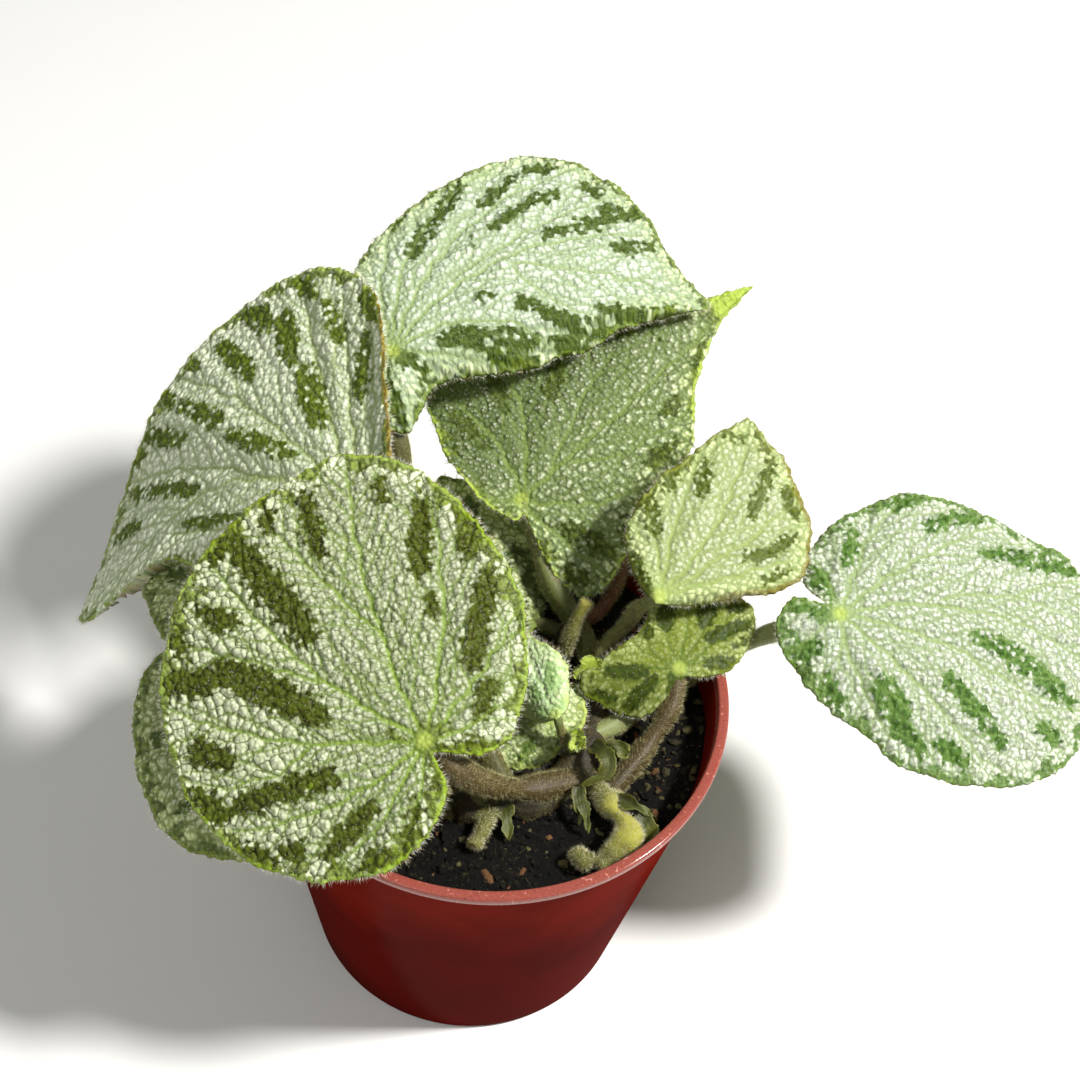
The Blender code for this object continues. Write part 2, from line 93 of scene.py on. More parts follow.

# Finer values of the leaves
BLADE = 0.5  # thickness
MARGIN_STEP = 0.2  # between points of the margin
MARGIN_HAIRS = 5.8  # on each millimetre of it
MARGIN_HAIR = 0.036  # and how thick they are
BROAD_PUFF = 0.9  # height of the swelling between main veins
DOME = 0.85  # height of a pucker on a leaf with a relief of 1
CREASE_PULL = 0.42  # how near a crease a point is pulled into it, as a share of the spacing
PLAIN_CELL = 2.2  # width of a cell on most leaves
COARSE = 1.35  # size of the puckers, as a share of a leaf's cells
SMALL = 0.58  # and of the bumps on them
JITTER = 0.86  # how far cells stray from an even grid
CROWDING = 4.6  # how many millimetres' worth of cells crowd in near the junction
CROWDED = 11.0  # and how far out that reaches
RAGGED = 1.9  # how far single cells stray over a streak's edge
PLAIN_STREAK = 3.4  # width of a streak that isn't given
VEIN_GROOVE = 0.35
UNDER_RIB = 0.45
MAIN_VEIN = 0.36  # half width of a vein at the junction
FORKED_VEIN = 0.26
FINE_VEIN = 0.20
FINE_VEIN_STEP = 0.35
FINE_VEIN_STEPS = 44

# Hairs: how many on each square millimetre, how long and how thick they are, and their tone
HAIR_SPREAD = 0.32
UPPER_HAIRS = dict(per_area=0.5, length=0.8, thick=0.026, tone=0.25)
UNDER_HAIRS = dict(per_area=0.12, length=0.6, thick=0.022, tone=0.3)
STALK_HAIRS = dict(per_area=4.6, length=0.95, thick=0.022, tone=0.48)
RHIZOME_HAIRS = dict(per_area=2.4, length=0.6, thick=0.022, tone=0.62)
SHOOT_HAIRS = dict(per_area=9.0, length=0.95, thick=0.028, tone=0.42)
BUD_HAIRS = dict(per_area=3.0, length=0.7, thick=0.022, tone=0.1)
BRACT_HAIRS = dict(per_area=1.2, length=0.45, thick=0.022, tone=0.5)

# Where each finish comes in a piece's list of them
UPPER, UNDER, STALK, DOWN = range(4)
STEM, STEM_DOWN = range(2)

# Seeds of the random numbers. Leaves have 100, 200 and so on
MIX_SEED = 5
RHIZOME_SEED = 71
SHOOT_SEED = 72
BRACT_SEED = 80

# The camera, which is a little rolled
PHOTO_PIXELS = 1080
FOCAL_PIXELS = 1744.0
CAMERA_PLACE = (7.6, -233.2, 425.8)
CAMERA_PITCH = 49.9
CAMERA_ROLL = 7.24


@dataclass
class Leaf:
    """One leaf. The blade has its own frame at the junction, where the stalk meets it: x runs
    along the midrib, y to its left and z out of the upper face. Margin points are (along,
    across, lift). A vein is (to x, to y, bow) from the junction, or (from x, from y, to x, to y,
    bow). A dark streak is (from x, from y, to x, to y, width), and its bow where it has one."""

    name: str
    junction: tuple
    heading: float
    rise: float
    roll: float
    tip: tuple
    sinus: tuple
    girth: float
    left: list
    right: list
    stalk: list
    hook: float = 0.0
    veins: list = field(default_factory=list)
    streaks: list = field(default_factory=list)
    grain: float = 0.6  # spacing of the lattice
    cell: float = PLAIN_CELL
    band: float = 2.6  # width of the dark band at the margin
    relief: float = 1.0
    flank: float = 0.33  # width of a pucker's sloping side, in cells
    lumps: float = 0.15  # share of the bumps in the relief
    specks: float = 0.08  # share of cells that stay silver inside a streak
    blush: tuple = ()  # the angles between which the margin blushes
    bare_tip: float = 0.0  # length of the tip without silver


LEAVES = [
    Leaf(
        "front_leaf", (-11, -33, 119), heading=115, rise=19, roll=-16,
        tip=(69, 0, -4), sinus=(-3, -1, 0), girth=2.7,
        left=[(64, 21, -4), (52, 41, -6), (30, 53, -8), (4, 53, -9), (-13, 42, -9), (-21, 28, -8),
            (-22, 11, -5), (-12, -1, -3)],
        right=[(-6, -14, -2), (4, -23, -3), (25, -28, -3), (46, -23, -3), (62, -12, -4)],
        stalk=[(22, -20, 90), (12, -26, 94), (3, -31, 102), (-5, -34, 112)],
        veins=[(67, 0, 3), (23, 2, 58, 21, 0), (56, 36, 4), (19, 18, 38, 46, 0), (26, 53, 4),
            (6, 24, 9, 52, 4), (-4, 46, 5), (-20, 27, 2), (-22, 14, 2), (-10, -1, 1), (54, -15, -4),
            (23, -27, -2), (6, -23, -2)],
        streaks=[(56, 29, 30, 18, 7), (61, 11, 47, 11, 4), (51, -13, 37, -9, 5), (30, -22, 13, -14, 5),
            (41, -20, 37, -20, 4), (7, -17, 3, -13, 4), (29, 38, 12, 20, 7), (30, 50, 27, 39, 6),
            (43, 39, 38, 34, 5), (15, 48, 10, 42, 5), (-1, 42, -2, 21, 5, 1), (5, 51, -1, 46, 5),
            (-10, 15, -16, 26, 4), (-12, 5, -20, 10, 3), (-5, -1, -10, -1, 4), (-3, -3, -5, -13, 3),
            (-10, 44, -14, 39, 5), (-12, 35, -13, 32, 4), (62, 20, 56, 21, 3), (29, -9, 26, -10, 3),
            (59, -6, 55, -5, 3), (-20, 19, -20, 13, 4), (62, 29, 55, 33, 6), (47, -21, 38, -26, 4),
            (40, 47, 37, 46, 4)],
        grain=0.46, cell=2.0, band=3.2, relief=1.05, flank=0.22, lumps=0.3, specks=0,
    ),
    Leaf(
        "left_leaf", (-33, 20, 127), heading=169, rise=-17, roll=-31,
        tip=(88.5, 1, -30), sinus=(-2, 2, 0), girth=2.2, hook=24,
        left=[(87, 5, -28), (81, 8, -25), (73, 8, -21), (61, 6, -14), (50, 9, -12), (29, 20, -8),
            (10, 21, -6), (0, 12, -4)],
        right=[(-8, -3, 2), (-6, -16, 3), (-1, -35, 3), (5, -51, 1), (19, -59, -3), (32, -58, -5),
            (50, -50, -9), (63, -38, -10), (73, -25, -17), (81, -11, -25)],
        stalk=[(0.5, -27.5, 91), (-12, -13, 97.5), (-25, 2, 109), (-31, 14, 120)],
        veins=[(75, -21, 0), (78, 9, -12), (63, -41, -2), (27, -55, 1), (15, -52, 0), (8, -52, -3),
            (54, 1, 3)],
        streaks=[(30, -47, 26, -37, 6), (21, -33, 15, -21, 6), (48, -44, 37, -34, 5),
            (41, -51, 35, -46, 6), (56, -31, 43, -23, 4), (39, -19, 21, -13, 4), (67, -28, 55, -22, 4),
            (71, -16, 48, -8, 3), (50, 0, 33, 2, 3), (18, -50, 13, -41, 4), (6, -41, 5, -27, 4),
            (77, -9, 68, -7, 3), (28, -56, 24, -53, 4), (8, -51, 5, -46, 4), (63, -37, 60, -32, 3),
            (57, -43, 54, -40, 3), (72, -25, 68, -25, 3)],
        grain=0.5, cell=1.9, band=2.6, relief=0.8, blush=(-178, -80),
    ),
    Leaf(
        "top_leaf", (-32, 58, 141), heading=19, rise=9, roll=13,
        tip=(78, 0, -12), sinus=(-3, -1, 0), girth=2.2,
        left=[(72, 15, -10), (68, 31, -9), (58, 44, -7), (43, 51, -6), (23, 46, -4), (8, 37, -3),
            (-4, 26, -3), (-9, 9, -2)],
        right=[(-5, -15, -8), (0, -17, -9), (10, -7, -8), (28, -7, -10), (43, -5, -11), (61, -1, -11)],
        stalk=[(7, -24.5, 91), (-6, -5, 95), (-17, 20, 105), (-26, 41, 116), (-29, 47, 126)],
        veins=[(66, 22, 9), (33, 18, 76, 1, 2), (33, 17, 52, -1, -3), (40, -6, 7), (21, -5, 0),
            (58, 45, 9), (37, 50, 8), (9, 39, 3), (-3, -13, -1), (18, 16, 65, 35, 2)],
        streaks=[(10, 26, 26, 44, 4), (30, 37, 39, 44, 3), (31, 29, 48, 37, 3, 1), (43, 25, 66, 28, 3),
            (59, 19, 67, 18, 4), (56, 39, 59, 35, 4), (60, 30, 66, 28, 5), (13, 0, 23, -3, 5, 2),
            (32, 7, 43, -1, 4), (25, -1, 33, -3, 4), (50, 3, 63, -1, 3, -1), (39, -4, 51, -2, 5),
            (64, 0, 70, 0, 2), (1, -1, 6, -5, 4), (19, 45, 15, 43, 2), (5, 36, 9, 37, 3),
            (23, 9, 26, 9, 2), (42, 45, 49, 46, 3), (25, 27, 25, 26, 2), (23, -5, 33, -6, 3),
            (-3, -9, -2, -15, 4)],
        grain=0.5, cell=2.0, band=1.2, relief=1.1,
    ),
    Leaf(
        "middle_leaf", (2, 43, 112), heading=46, rise=27, roll=15,
        tip=(79, 0, -10), sinus=(-2, -3, 0), girth=2.4,
        left=[(65, 7, -6), (49, 19, -4), (30, 31, -2), (12, 37, 0), (2, 35, 1), (-5, 22, 2), (-7, 6, 3),
            (-5, -3, 2)],
        right=[(-7, -17, -1), (-7, -25, -3), (-2, -29, -3), (11, -26, -4), (24, -20, -4), (38, -20, -4),
            (47, -11, -5), (58, -5, -6), (71, -1, -8)],
        stalk=[(22, 17.5, 90.5), (18.5, 21.5, 94), (10, 30, 102)],
        veins=[(78, 0, -1), (15, -2, 44, -12, -3), (25, -19, -3), (2, -28, -1), (20, 27, -3), (5, 33, -3),
            (8, -1, 42, 11, 1), (-6, 11, 2)],
        streaks=[(16, 28, 12, 18, 3, 1), (29, 17, 24, 14, 5), (3, 27, 3, 15, 3), (3, -13, 6, -23, 5),
            (-5, -10, -5, -15, 3), (-5, -20, -2, -25, 3), (28, -15, 35, -16, 4), (40, -9, 44, -8, 3),
            (15, -21, 11, -25, 3), (43, 15, 52, 11, 3), (-8, 10, -4, 8, 2), (51, 8, 52, 6, 1),
            (58, -3, 50, -9, 3), (-2, 25, -5, 20, 3)],
        grain=0.5, cell=2.1, band=1.4, relief=0.9, bare_tip=18.0,
    ),
    Leaf(
        "far_right_leaf", (78, 18, 115), heading=8, rise=-6, roll=19,
        tip=(70, 0, -10), sinus=(-3, 2, 0), girth=2.0,
        left=[(68, 15, -9), (58, 24, -8), (35, 33, -7), (20, 34, -6), (5, 27, -6), (-5, 17, -6),
            (-7, 8, -4)],
        right=[(-11, 3, -2), (-14, -6, -4), (-5, -18, -6), (7, -26, -8), (17, -33, -9), (32, -36, -10),
            (49, -34, -11), (62, -25, -12)],
        stalk=[(25, -7.5, 90.2), (33, -0.8, 90), (45, 9, 93.5), (52, 14, 99), (60, 18, 101),
            (66, 18.5, 105.5)],
        veins=[(63, -3, 6), (26, 6, 64, 6, 3), (45, 9, 64, 16, 1), (43, 28, 2), (17, 30, 2), (-4, 14, 0),
            (58, -20, 4), (36, -31, 1), (13, -27, -2), (-3, -17, 2), (-12, -10, 0), (-12, 1, -2)],
        streaks=[(24, 24, 37, 29, 4, 1), (39, 20, 65, 19, 4), (34, -2, 59, -14, 5, 1),
            (26, -13, 40, -26, 4), (9, -16, 15, -25, 6, 1), (-3, -15, 1, -20, 4), (-11, -10, -6, -8, 5),
            (5, 22, 3, 13, 4), (-4, 11, -3, 5, 4), (16, 30, 22, 32, 3), (24, -28, 30, -31, 4),
            (51, -21, 55, -23, 4), (-11, 2, -4, 1, 4), (17, -26, 20, -30, 3)],
        grain=0.5, cell=1.8, band=2.2, relief=1.7,
    ),
    Leaf(
        "upper_right_leaf", (36, 14, 118), heading=69, rise=22, roll=11,
        tip=(50, 0, -4), sinus=(-2, 0, 0), girth=1.7,
        left=[(35, 8, -2), (23, 13, -2), (10, 13, -3), (1, 5, -3)],
        right=[(2, -7, -4), (9, -16, -5), (14, -23, -5), (22, -28, -5), (34, -24, -5), (43, -14, -4),
            (47, -6, -4)],
        stalk=[(25, 11.5, 91), (26, 15.5, 94.5), (30, 17, 102), (32, 16.8, 109)],
        veins=[(49, -1, -4), (38, -20, -1), (23, -24, 0), (37, 6, 1), (17, 11, -1)],
        streaks=[(34, 4, 27, 2, 3), (31, 10, 24, 9, 3), (20, 12, 13, 7, 3), (43, -10, 28, -11, 3),
            (18, -14, 28, -22, 3, -1), (38, -16, 34, -20, 4), (6, 9, 0, 3, 2), (15, -20, 20, -24, 2),
            (43, 3, 44, -2, 2)],
        grain=0.46, cell=1.5, band=1.8, relief=1.5, blush=(-68, -8),
    ),
    Leaf(
        "young_right_leaf", (43, 5, 104), heading=102, rise=15, roll=-2,
        tip=(22, 0, 0), sinus=(-2, -1, 0), girth=2.2,
        left=[(18, 5.5, 0), (13, 6, 0), (9, 9.5, -1), (5, 16, -2), (1, 22, -4), (-3, 22, -6),
            (-6, 17, -7), (-9, 10, -7), (-7, 4, -5)],
        right=[(-2, -6, -2), (0, -13, -2), (6, -18, -1), (14, -19, 0), (20, -13, 0), (23, -7, 0)],
        stalk=[(31, -20, 90), (38, -9.5, 93), (42.5, -1, 98)],
        veins=[(17, -5, 0), (14, 4, 0), (16, -12, 0), (11, -18, 0), (4, -13, 0), (8, 10, 1), (1, 18, 0),
            (-4, 18, 2), (-7, 7, 1)],
        streaks=[(16, 1, 11, 2, 4), (15, -9, 11, -7, 4), (14, -14, 14, -17, 3), (7, -8, 10, -17, 3),
            (5, -14, 6, -16, 2), (1, -7, 1, -13, 3), (11, 7, 9, 6, 3), (1, 16, 0, 8, 3),
            (-4, 20, -5, 16, 3), (-7, 12, -2, 6, 3), (-1, 1, -4, 2, 3)],
        grain=0.56, cell=1.5, band=0.7, relief=0.2, specks=0,
    ),
    Leaf(
        "new_centre_leaf", (16, -11, 102), heading=119, rise=15, roll=-32,
        tip=(21, 0, -2), sinus=(-1, 0, 0), girth=1.2,
        left=[(16, 4, -1), (9, 8, -2), (5, 8, -4), (1, 5, -3)],
        right=[(1, -3, -2), (6, -5, -3), (11, -6, -3), (16, -4, -2)],
        stalk=[(21, -12, 91), (18, -12, 97)],
        grain=0.5, cell=1.2, band=1.0,
    ),
    Leaf(
        "low_centre_leaf", (15, -7, 95), heading=-146, rise=-17, roll=-14,
        tip=(19, 0, -3), sinus=(-4, -2, 0), girth=1.2,
        left=[(15, 4, -3), (9, 8, -3), (1, 7, -3), (-6, 5, -3), (-9, 0, -3), (-9, -5, -3)],
        right=[(0, -8, -1), (8, -9, -2), (15, -5, -3)],
        stalk=[(22, -4, 90), (19, -5, 92)],
        grain=0.5, cell=1.5, band=1.8, relief=1.25,
    ),
    Leaf(
        "low_left_leaf", (-46, -33, 104), heading=-179, rise=-15, roll=-14,
        tip=(32, 0, -8), sinus=(-5, 3, 0), girth=1.6,
        left=[(24, 13, -8), (14, 19, -8), (2, 20, -7), (-8, 13, -4)],
        right=[(-9, -6, -3), (-4, -17, -4), (10, -27, -5), (27, -30, -7), (35, -19, -8)],
        stalk=[(-6, -31, 89.6), (-17, -34, 95), (-32, -33.5, 100.5)],
        grain=0.66,
    ),
    Leaf(
        "mid_left_leaf", (-55, 9, 100), heading=158, rise=-10, roll=0,
        tip=(37, 0, -9), sinus=(-3, 0, 0), girth=1.4,
        left=[(27, 8, -8), (14, 15, -5), (-2, 17, -1), (-8, 11, 0), (-8, 5, 0)],
        right=[(-6, -3, -1), (-2, -9, -2), (11, -18, -5), (30, -22, -9), (40, -15, -11)],
        stalk=[(-6, -26.5, 90), (-20, -18, 92.5), (-38, -4, 97.5)],
        grain=0.66,
    ),
    Leaf(
        "back_left_leaf", (-4, 25, 98), heading=117, rise=14, roll=-11,
        tip=(34, 0, -4), sinus=(-2, 2, 0), girth=1.4,
        left=[(29, 11, -4), (18, 17, -4), (4, 15, -4), (-3, 8, -3)],
        right=[(-12, -1, -3), (-11, -10, -5), (-1, -15, -5), (13, -15, -4), (27, -9, -4)],
        stalk=[(16, 21, 90.3), (9, 22, 92)],
        grain=0.75,
    ),
    Leaf(
        "back_right_leaf", (29, 44, 103), heading=90, rise=13, roll=6,
        tip=(40, 0, -5), sinus=(-2, 1, 0), girth=1.6,
        left=[(32, 10, -4), (20, 16, -4), (6, 15, -4), (-3, 7, -3)],
        right=[(-2, -6, -3), (9, -13, -4), (23, -13, -4), (35, -8, -4)],
        stalk=[(18, 25, 89.5), (24, 28, 91.5), (28, 36, 96)],
        grain=0.75,
    ),
]


STUBS = {
    "upright_stub": ([(16.5, 12, 90), (17.6, 16.2, 97.5), (20.4, 20.6, 105)], [2.4, 2.1, 2.2]),
    "low_stub": ([(5, -29, 89.8), (3.4, -34, 89.8), (1.6, -39.6, 89.0)], [2.4, 2.1, 2.4]),
    "bent_stub": (
        [(27, -21.5, 90.4), (31, -26.1, 91.4), (33.6, -29.4, 91.8), (35.6, -32, 91.6), (33.6, -35.5, 90.6),
         (31.1, -38.1, 89.6), (29.2, -40.2, 88.9)],
        [3.2, 2.7, 2.0, 3.2, 3.1, 2.5, 2.1],
    ),
    "stub_knob": ([(28, -39.8, 88.4), (24.9, -38.6, 88.9), (24, -36.6, 89.2)], [1.3, 2.3, 1.6]),
}
BRACTS = {
    "left_prong": (
        [(22.9, -23.5, 94), (23.5, -26.5, 93), (24.1, -28.3, 91), (24.2, -30.6, 89)], [1.2, 1.5, 1.1, 0.25],
    ),
    "right_prong": ([(23.6, -25.6, 93.4), (25.4, -28.9, 91), (26.6, -32.3, 88.5)], [0.9, 1.0, 0.25]),
    "curled_bract": (
        [(25.3, -13.3, 96), (27.5, -17.1, 99), (28.8, -20, 99), (27.9, -22.1, 97), (23.1, -23.5, 94)],
        [1.2, 1.8, 2.0, 1.7, 0.5],
    ),
    "right_sheath": ([(31, -24.2, 92.2), (35.9, -26.6, 94), (40.4, -28.2, 93)], [1.1, 1.2, 0.2]),
    "toothed_bract": ([(37, -27.9, 93), (39.1, -30.1, 92), (40.3, -32.3, 90)], [1.1, 1.9, 1.3]),
    "left_bract": ([(6.5, -27.8, 91), (7.9, -31.6, 90), (9.2, -36.1, 88)], [1.2, 1.5, 0.25]),
    "back_sheath": ([(27.9, -14.5, 96), (30.5, -14, 97), (33.3, -15.2, 97)], [1.2, 1.7, 0.9]),
    "back_bract": ([(23, 8, 91), (30, 9, 92), (35, 13, 94)], [1.4, 1.6, 0.4]),
    "young_bud": ([(20.8, 2.4, 98), (22.3, 3.9, 101), (23.3, 5.8, 103)], [1.5, 2.3, 1.3]),
    "crown_bud_a": ([(21.4, -13.6, 94), (21.2, -14.4, 97), (19.8, -15.6, 98.5)], [1.0, 1.6, 0.7]),
    "crown_bud_b": ([(21.6, -13.6, 94), (22, -13.8, 97), (23.2, -14, 98.6)], [1.0, 1.6, 0.7]),
    "crown_bud_c": ([(21.5, -13.4, 94), (21.4, -13, 97.4), (21.4, -12.2, 99.6)], [1.0, 1.5, 0.7]),
    "crown_bud_d": ([(21.5, -14, 94), (21.6, -15, 96.6), (22, -16.4, 97.4)], [0.9, 1.4, 0.6]),
}


def smooth_path(points, per_span):
    """A curve through every given point, with per_span points from each to the next. No slope is
    longer than the shorter span beside it, so the curve doesn't swing out between close points."""
    points = [Vector(point) for point in points]
    ends = [2 * points[0] - points[1], *points, 2 * points[-1] - points[-2]]
    slopes = []
    for before, here, after in zip(ends, ends[1:], ends[2:]):
        slopes.append((after - before).normalized() * min((here - before).length, (after - here).length))
    path = []
    for here, after, leaving, arriving in zip(points, points[1:], slopes, slopes[1:]):
        for step in range(per_span):
            t = step / per_span
            blend = t * t * (3 - 2 * t)
            path.append(here.lerp(after, blend) + leaving * t * (1 - t) ** 2 - arriving * t * t * (1 - t))
    return path + [points[-1]]


def rolled(count, seed, *shape):
    """Even random numbers from 0 to 1, the same on every run."""
    return np.random.default_rng(seed).random((count, *shape))


def unit(vectors):
    return vectors / np.maximum(np.linalg.norm(vectors, axis=-1, keepdims=True), 1e-9)


def length_of(vectors):
    return np.linalg.norm(vectors, axis=-1)


def step(value, low, high):
    """0 below low, 1 above high, and smooth between them."""
    t = np.clip((value - low) / (high - low), 0, 1)
    return t * t * (3 - 2 * t)


def bell(distance, width):
    """1 at no distance, and fading away over this width."""
    return np.exp(-((distance / width) ** 2))


def soft_noise(points, size):
    """Noise at each point, from -1 to 1, with blotches of about this size."""
    return np.array([noise.noise(Vector(point) / size) for point in points])


def lengths_along(path):
    """How far along a path of points each of them lies."""
    return np.concatenate([[0], np.cumsum(length_of(np.diff(path, axis=0)))])


class Form:
    """A mesh in the making: points in millimetres, triangles, finishes and painted values."""

    PAINT = ("dome", "vein", "streak", "rim", "tone", "along", "across")

    def __init__(self):
        self.points, self.triangles, self.finishes, self.paint, self.count = [], [], [], [], 0

    def add(self, points, triangles, finish=0, **paint):
        points = np.asarray(points, float)
        self.points.append(points)
        self.triangles.append(np.asarray(triangles, int) + self.count)
        self.finishes.append(np.zeros(len(triangles), int) + finish)
        rows = np.zeros((len(points), len(self.PAINT)))
        for name, values in paint.items():
            rows[:, self.PAINT.index(name)] = values
        self.paint.append(rows)
        self.count += len(points)

    def build(self, name, finishes):
        points, triangles = np.concatenate(self.points) * MM, np.concatenate(self.triangles)
        mesh = bpy.data.meshes.new(name)
        mesh.vertices.add(len(points))
        mesh.vertices.foreach_set("co", points.ravel())
        mesh.loops.add(triangles.size)
        mesh.loops.foreach_set("vertex_index", triangles.ravel())
        mesh.polygons.add(len(triangles))
        mesh.polygons.foreach_set("loop_start", np.arange(0, triangles.size, 3))
        mesh.polygons.foreach_set("material_index", np.concatenate(self.finishes))
        mesh.polygons.foreach_set("use_smooth", np.ones(len(triangles), bool))
        mesh.update(calc_edges=True)
        paint = np.concatenate(self.paint)
        for column, key in enumerate(self.PAINT):
            if paint[:, column].any():
                layer = mesh.attributes.new(key, "FLOAT", "POINT")
                layer.data.foreach_set("value", paint[:, column].copy())
        return place(name, mesh, finishes)


def place(name, thing, finishes=()):
    """Puts a mesh, a light or a camera into the scene."""
    for finish in finishes:
        thing.materials.append(finish)
    piece = bpy.data.objects.new(name, thing)
    bpy.context.scene.collection.objects.link(piece)
    return piece


def settle(piece, slot, *nodes):
    """Lets a piece ride with the plant and stand for its solids."""
    if nodes:
        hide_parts(*nodes)
    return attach(piece, "root")


def add_hairs(form, roots, ways, lengths, thick, finish, tone=0.0):
    """Fine straight hairs: each is a three-sided spike from its root."""
    ways = unit(ways)
    side = unit(np.cross(ways, np.where(np.abs(ways[:, 2:]) > 0.9, (1.0, 0, 0), (0, 0, 1.0))))
    other = np.cross(ways, side)
    corners = []
    for turn in range(3):
        angle = math.tau * turn / 3
        corners.append(roots + (side * math.cos(angle) + other * math.sin(angle)) * thick)
    points = np.stack([*corners, roots + ways * np.asarray(lengths)[:, None]], axis=1).reshape(-1, 3)
    first = np.arange(len(roots))[:, None] * 4
    faces = np.concatenate([first + (0, 1, 3), first + (1, 2, 3), first + (2, 0, 3)], axis=1).reshape(-1, 3)
    form.add(points, faces, finish, tone=np.repeat(np.broadcast_to(tone, len(roots)), 4))


def add_fuzz(form, points, triangles, hairs, finish, seed, comb=(0, 0, 0), keep=1.0):
    """Hairs of one kind all over a surface, or over the share of it that keeps them."""
    a, b, c = (points[triangles[:, corner]] for corner in range(3))
    normals = np.cross(b - a, c - a)
    area = length_of(normals) / 2 * keep
    dice = np.random.default_rng(seed)
    count = int(area.sum() * hairs["per_area"])
    chosen = dice.choice(len(triangles), count, p=area / area.sum())
    share = dice.random((count, 2))
    share = np.where(share.sum(1, keepdims=True) > 1, 1 - share, share)
    a, b, c = a[chosen], b[chosen], c[chosen]
    roots = a + (b - a) * share[:, :1] + (c - a) * share[:, 1:]
    ways = unit(normals[chosen]) + dice.normal(0, HAIR_SPREAD, (count, 3)) + np.asarray(comb)
    lengths = hairs["length"] * (0.55 + 0.75 * dice.random(count))
    add_hairs(form, roots, ways, lengths, hairs["thick"], finish, hairs["tone"])


def tube_rings(way, girths, per_span, sides, ripple=None):
    """Rings of points round a smooth way, how far along it each ring lies, and their centres."""
    rows = np.array(smooth_path([(*point, girth) for point, girth in zip(way, girths)], per_span))
    centre, girth = rows[:, :3], rows[:, 3]
    heading = unit(np.gradient(centre, axis=0))
    side = np.cross(heading[0], (0.31, 0.17, 0.93))
    sides_at, others_at = [], []
    for ahead in heading:
        side = unit(side - ahead * np.dot(side, ahead))
        sides_at.append(side)
        others_at.append(np.cross(ahead, side))
    along = lengths_along(centre)
    angle = math.tau * np.arange(sides) / sides
    radius = np.repeat(girth[:, None], sides, axis=1)
    if ripple:
        radius = radius * (1 + ripple(along[:, None], angle[None, :]))
    rings = (
        centre[:, None]
        + radius[..., None] * np.cos(angle)[None, :, None] * np.array(sides_at)[:, None]
        + radius[..., None] * np.sin(angle)[None, :, None] * np.array(others_at)[:, None]
    )
    return rings, along, centre


def skin(rings, ends):
    """Points and triangles over rings of points, closed by a fan at both end points."""
    count, sides = rings.shape[:2]
    points = np.concatenate([rings.reshape(-1, 3), np.asarray(ends)])
    here = np.arange(sides)
    after = (here + 1) % sides
    faces = []
    for row in range(count - 1):
        low, high = row * sides, (row + 1) * sides
        faces.append(np.stack([low + here, low + after, high + after], axis=1))
        faces.append(np.stack([low + here, high + after, high + here], axis=1))
    first, last = count * sides, count * sides + 1
    faces.append(np.stack([np.full(sides, first), after, here], axis=1))
    top = (count - 1) * sides
    faces.append(np.stack([np.full(sides, last), top + here, top + after], axis=1))
    return points, np.concatenate(faces)


# Margin, veins and cells of a leaf


def margin_of(leaf):
    """The toothed, gently waving margin, sampled closely: its points and its flat outward ways."""
    path = smooth_path([leaf.tip, *leaf.left, leaf.sinus], 12)[:-1]
    path = np.array(path + smooth_path([leaf.sinus, *leaf.right, leaf.tip], 12))
    along = lengths_along(path[:, :2])
    at = np.linspace(0, along[-1], int(along[-1] / MARGIN_STEP), endpoint=False)
    line = np.stack([np.interp(at, along, path[:, column]) for column in range(3)], axis=1)
    ahead = unit(np.roll(line[:, :2], -2, axis=0) - np.roll(line[:, :2], 2, axis=0))
    outward = np.stack([ahead[:, 1], -ahead[:, 0]], axis=1)
    fade = step(length_of(line[:, :2]), 4, 12)
    teeth = 0.7 * soft_noise(line, 6.0) + 0.7 * abs(soft_noise(line, 2.0)) + 0.4 * soft_noise(line, 0.9)
    waves = 0.9 * soft_noise(line, 7.0) + 0.5 * soft_noise(line, 2.6)
    line[:, :2] += outward * (fade * (teeth - 0.15))[:, None]
    line[:, 2] += fade * waves
    return line, outward


def around(line):
    """Reach and lift of the margin as tables over the angle at the junction."""
    angle = np.unwrap(np.arctan2(line[:, 1], line[:, 0]))
    angle = np.maximum.accumulate(angle + np.arange(len(angle)) * 1e-7)
    reach = length_of(line[:, :2])
    angle = np.append(angle, angle[0] + math.tau)
    return angle, np.append(reach, reach[0]), np.append(line[:, 2], line[0, 2])


def share_and_lift(tables, x, y):
    """How far out to the margin each place lies, as a share, and the lift of the margin there."""
    angle, reach, lift = tables
    at = angle[0] + np.mod(np.arctan2(y, x) - angle[0], math.tau)
    return np.hypot(x, y) / np.interp(at, angle, reach), np.interp(at, angle, lift)


def tree_of(places):
    tree = kdtree.KDTree(len(places))
    for index, (x, y) in enumerate(places):
        tree.insert((x, y, 0), index)
    tree.balance()
    return tree


def nearest(lines, points):
    """Distance from each point to the closest point of the lines, and which one that is."""
    tree = tree_of(lines)
    found = [tree.find((x, y, 0))[1:] for x, y in points]
    return np.array([distance for _, distance in found]), np.array([index for index, _ in found])


def bowed(x0, y0, x1, y1, bow, count):
    """Points on a line that bows sideways by this much at its middle."""
    t = np.linspace(0, 1, count)[:, None]
    ends = np.array([(x0, y0), (x1, y1)], float)
    ahead = unit(ends[1] - ends[0])
    return ends[0] + (ends[1] - ends[0]) * t + np.array((-ahead[1], ahead[0])) * bow * 4 * t * (1 - t)


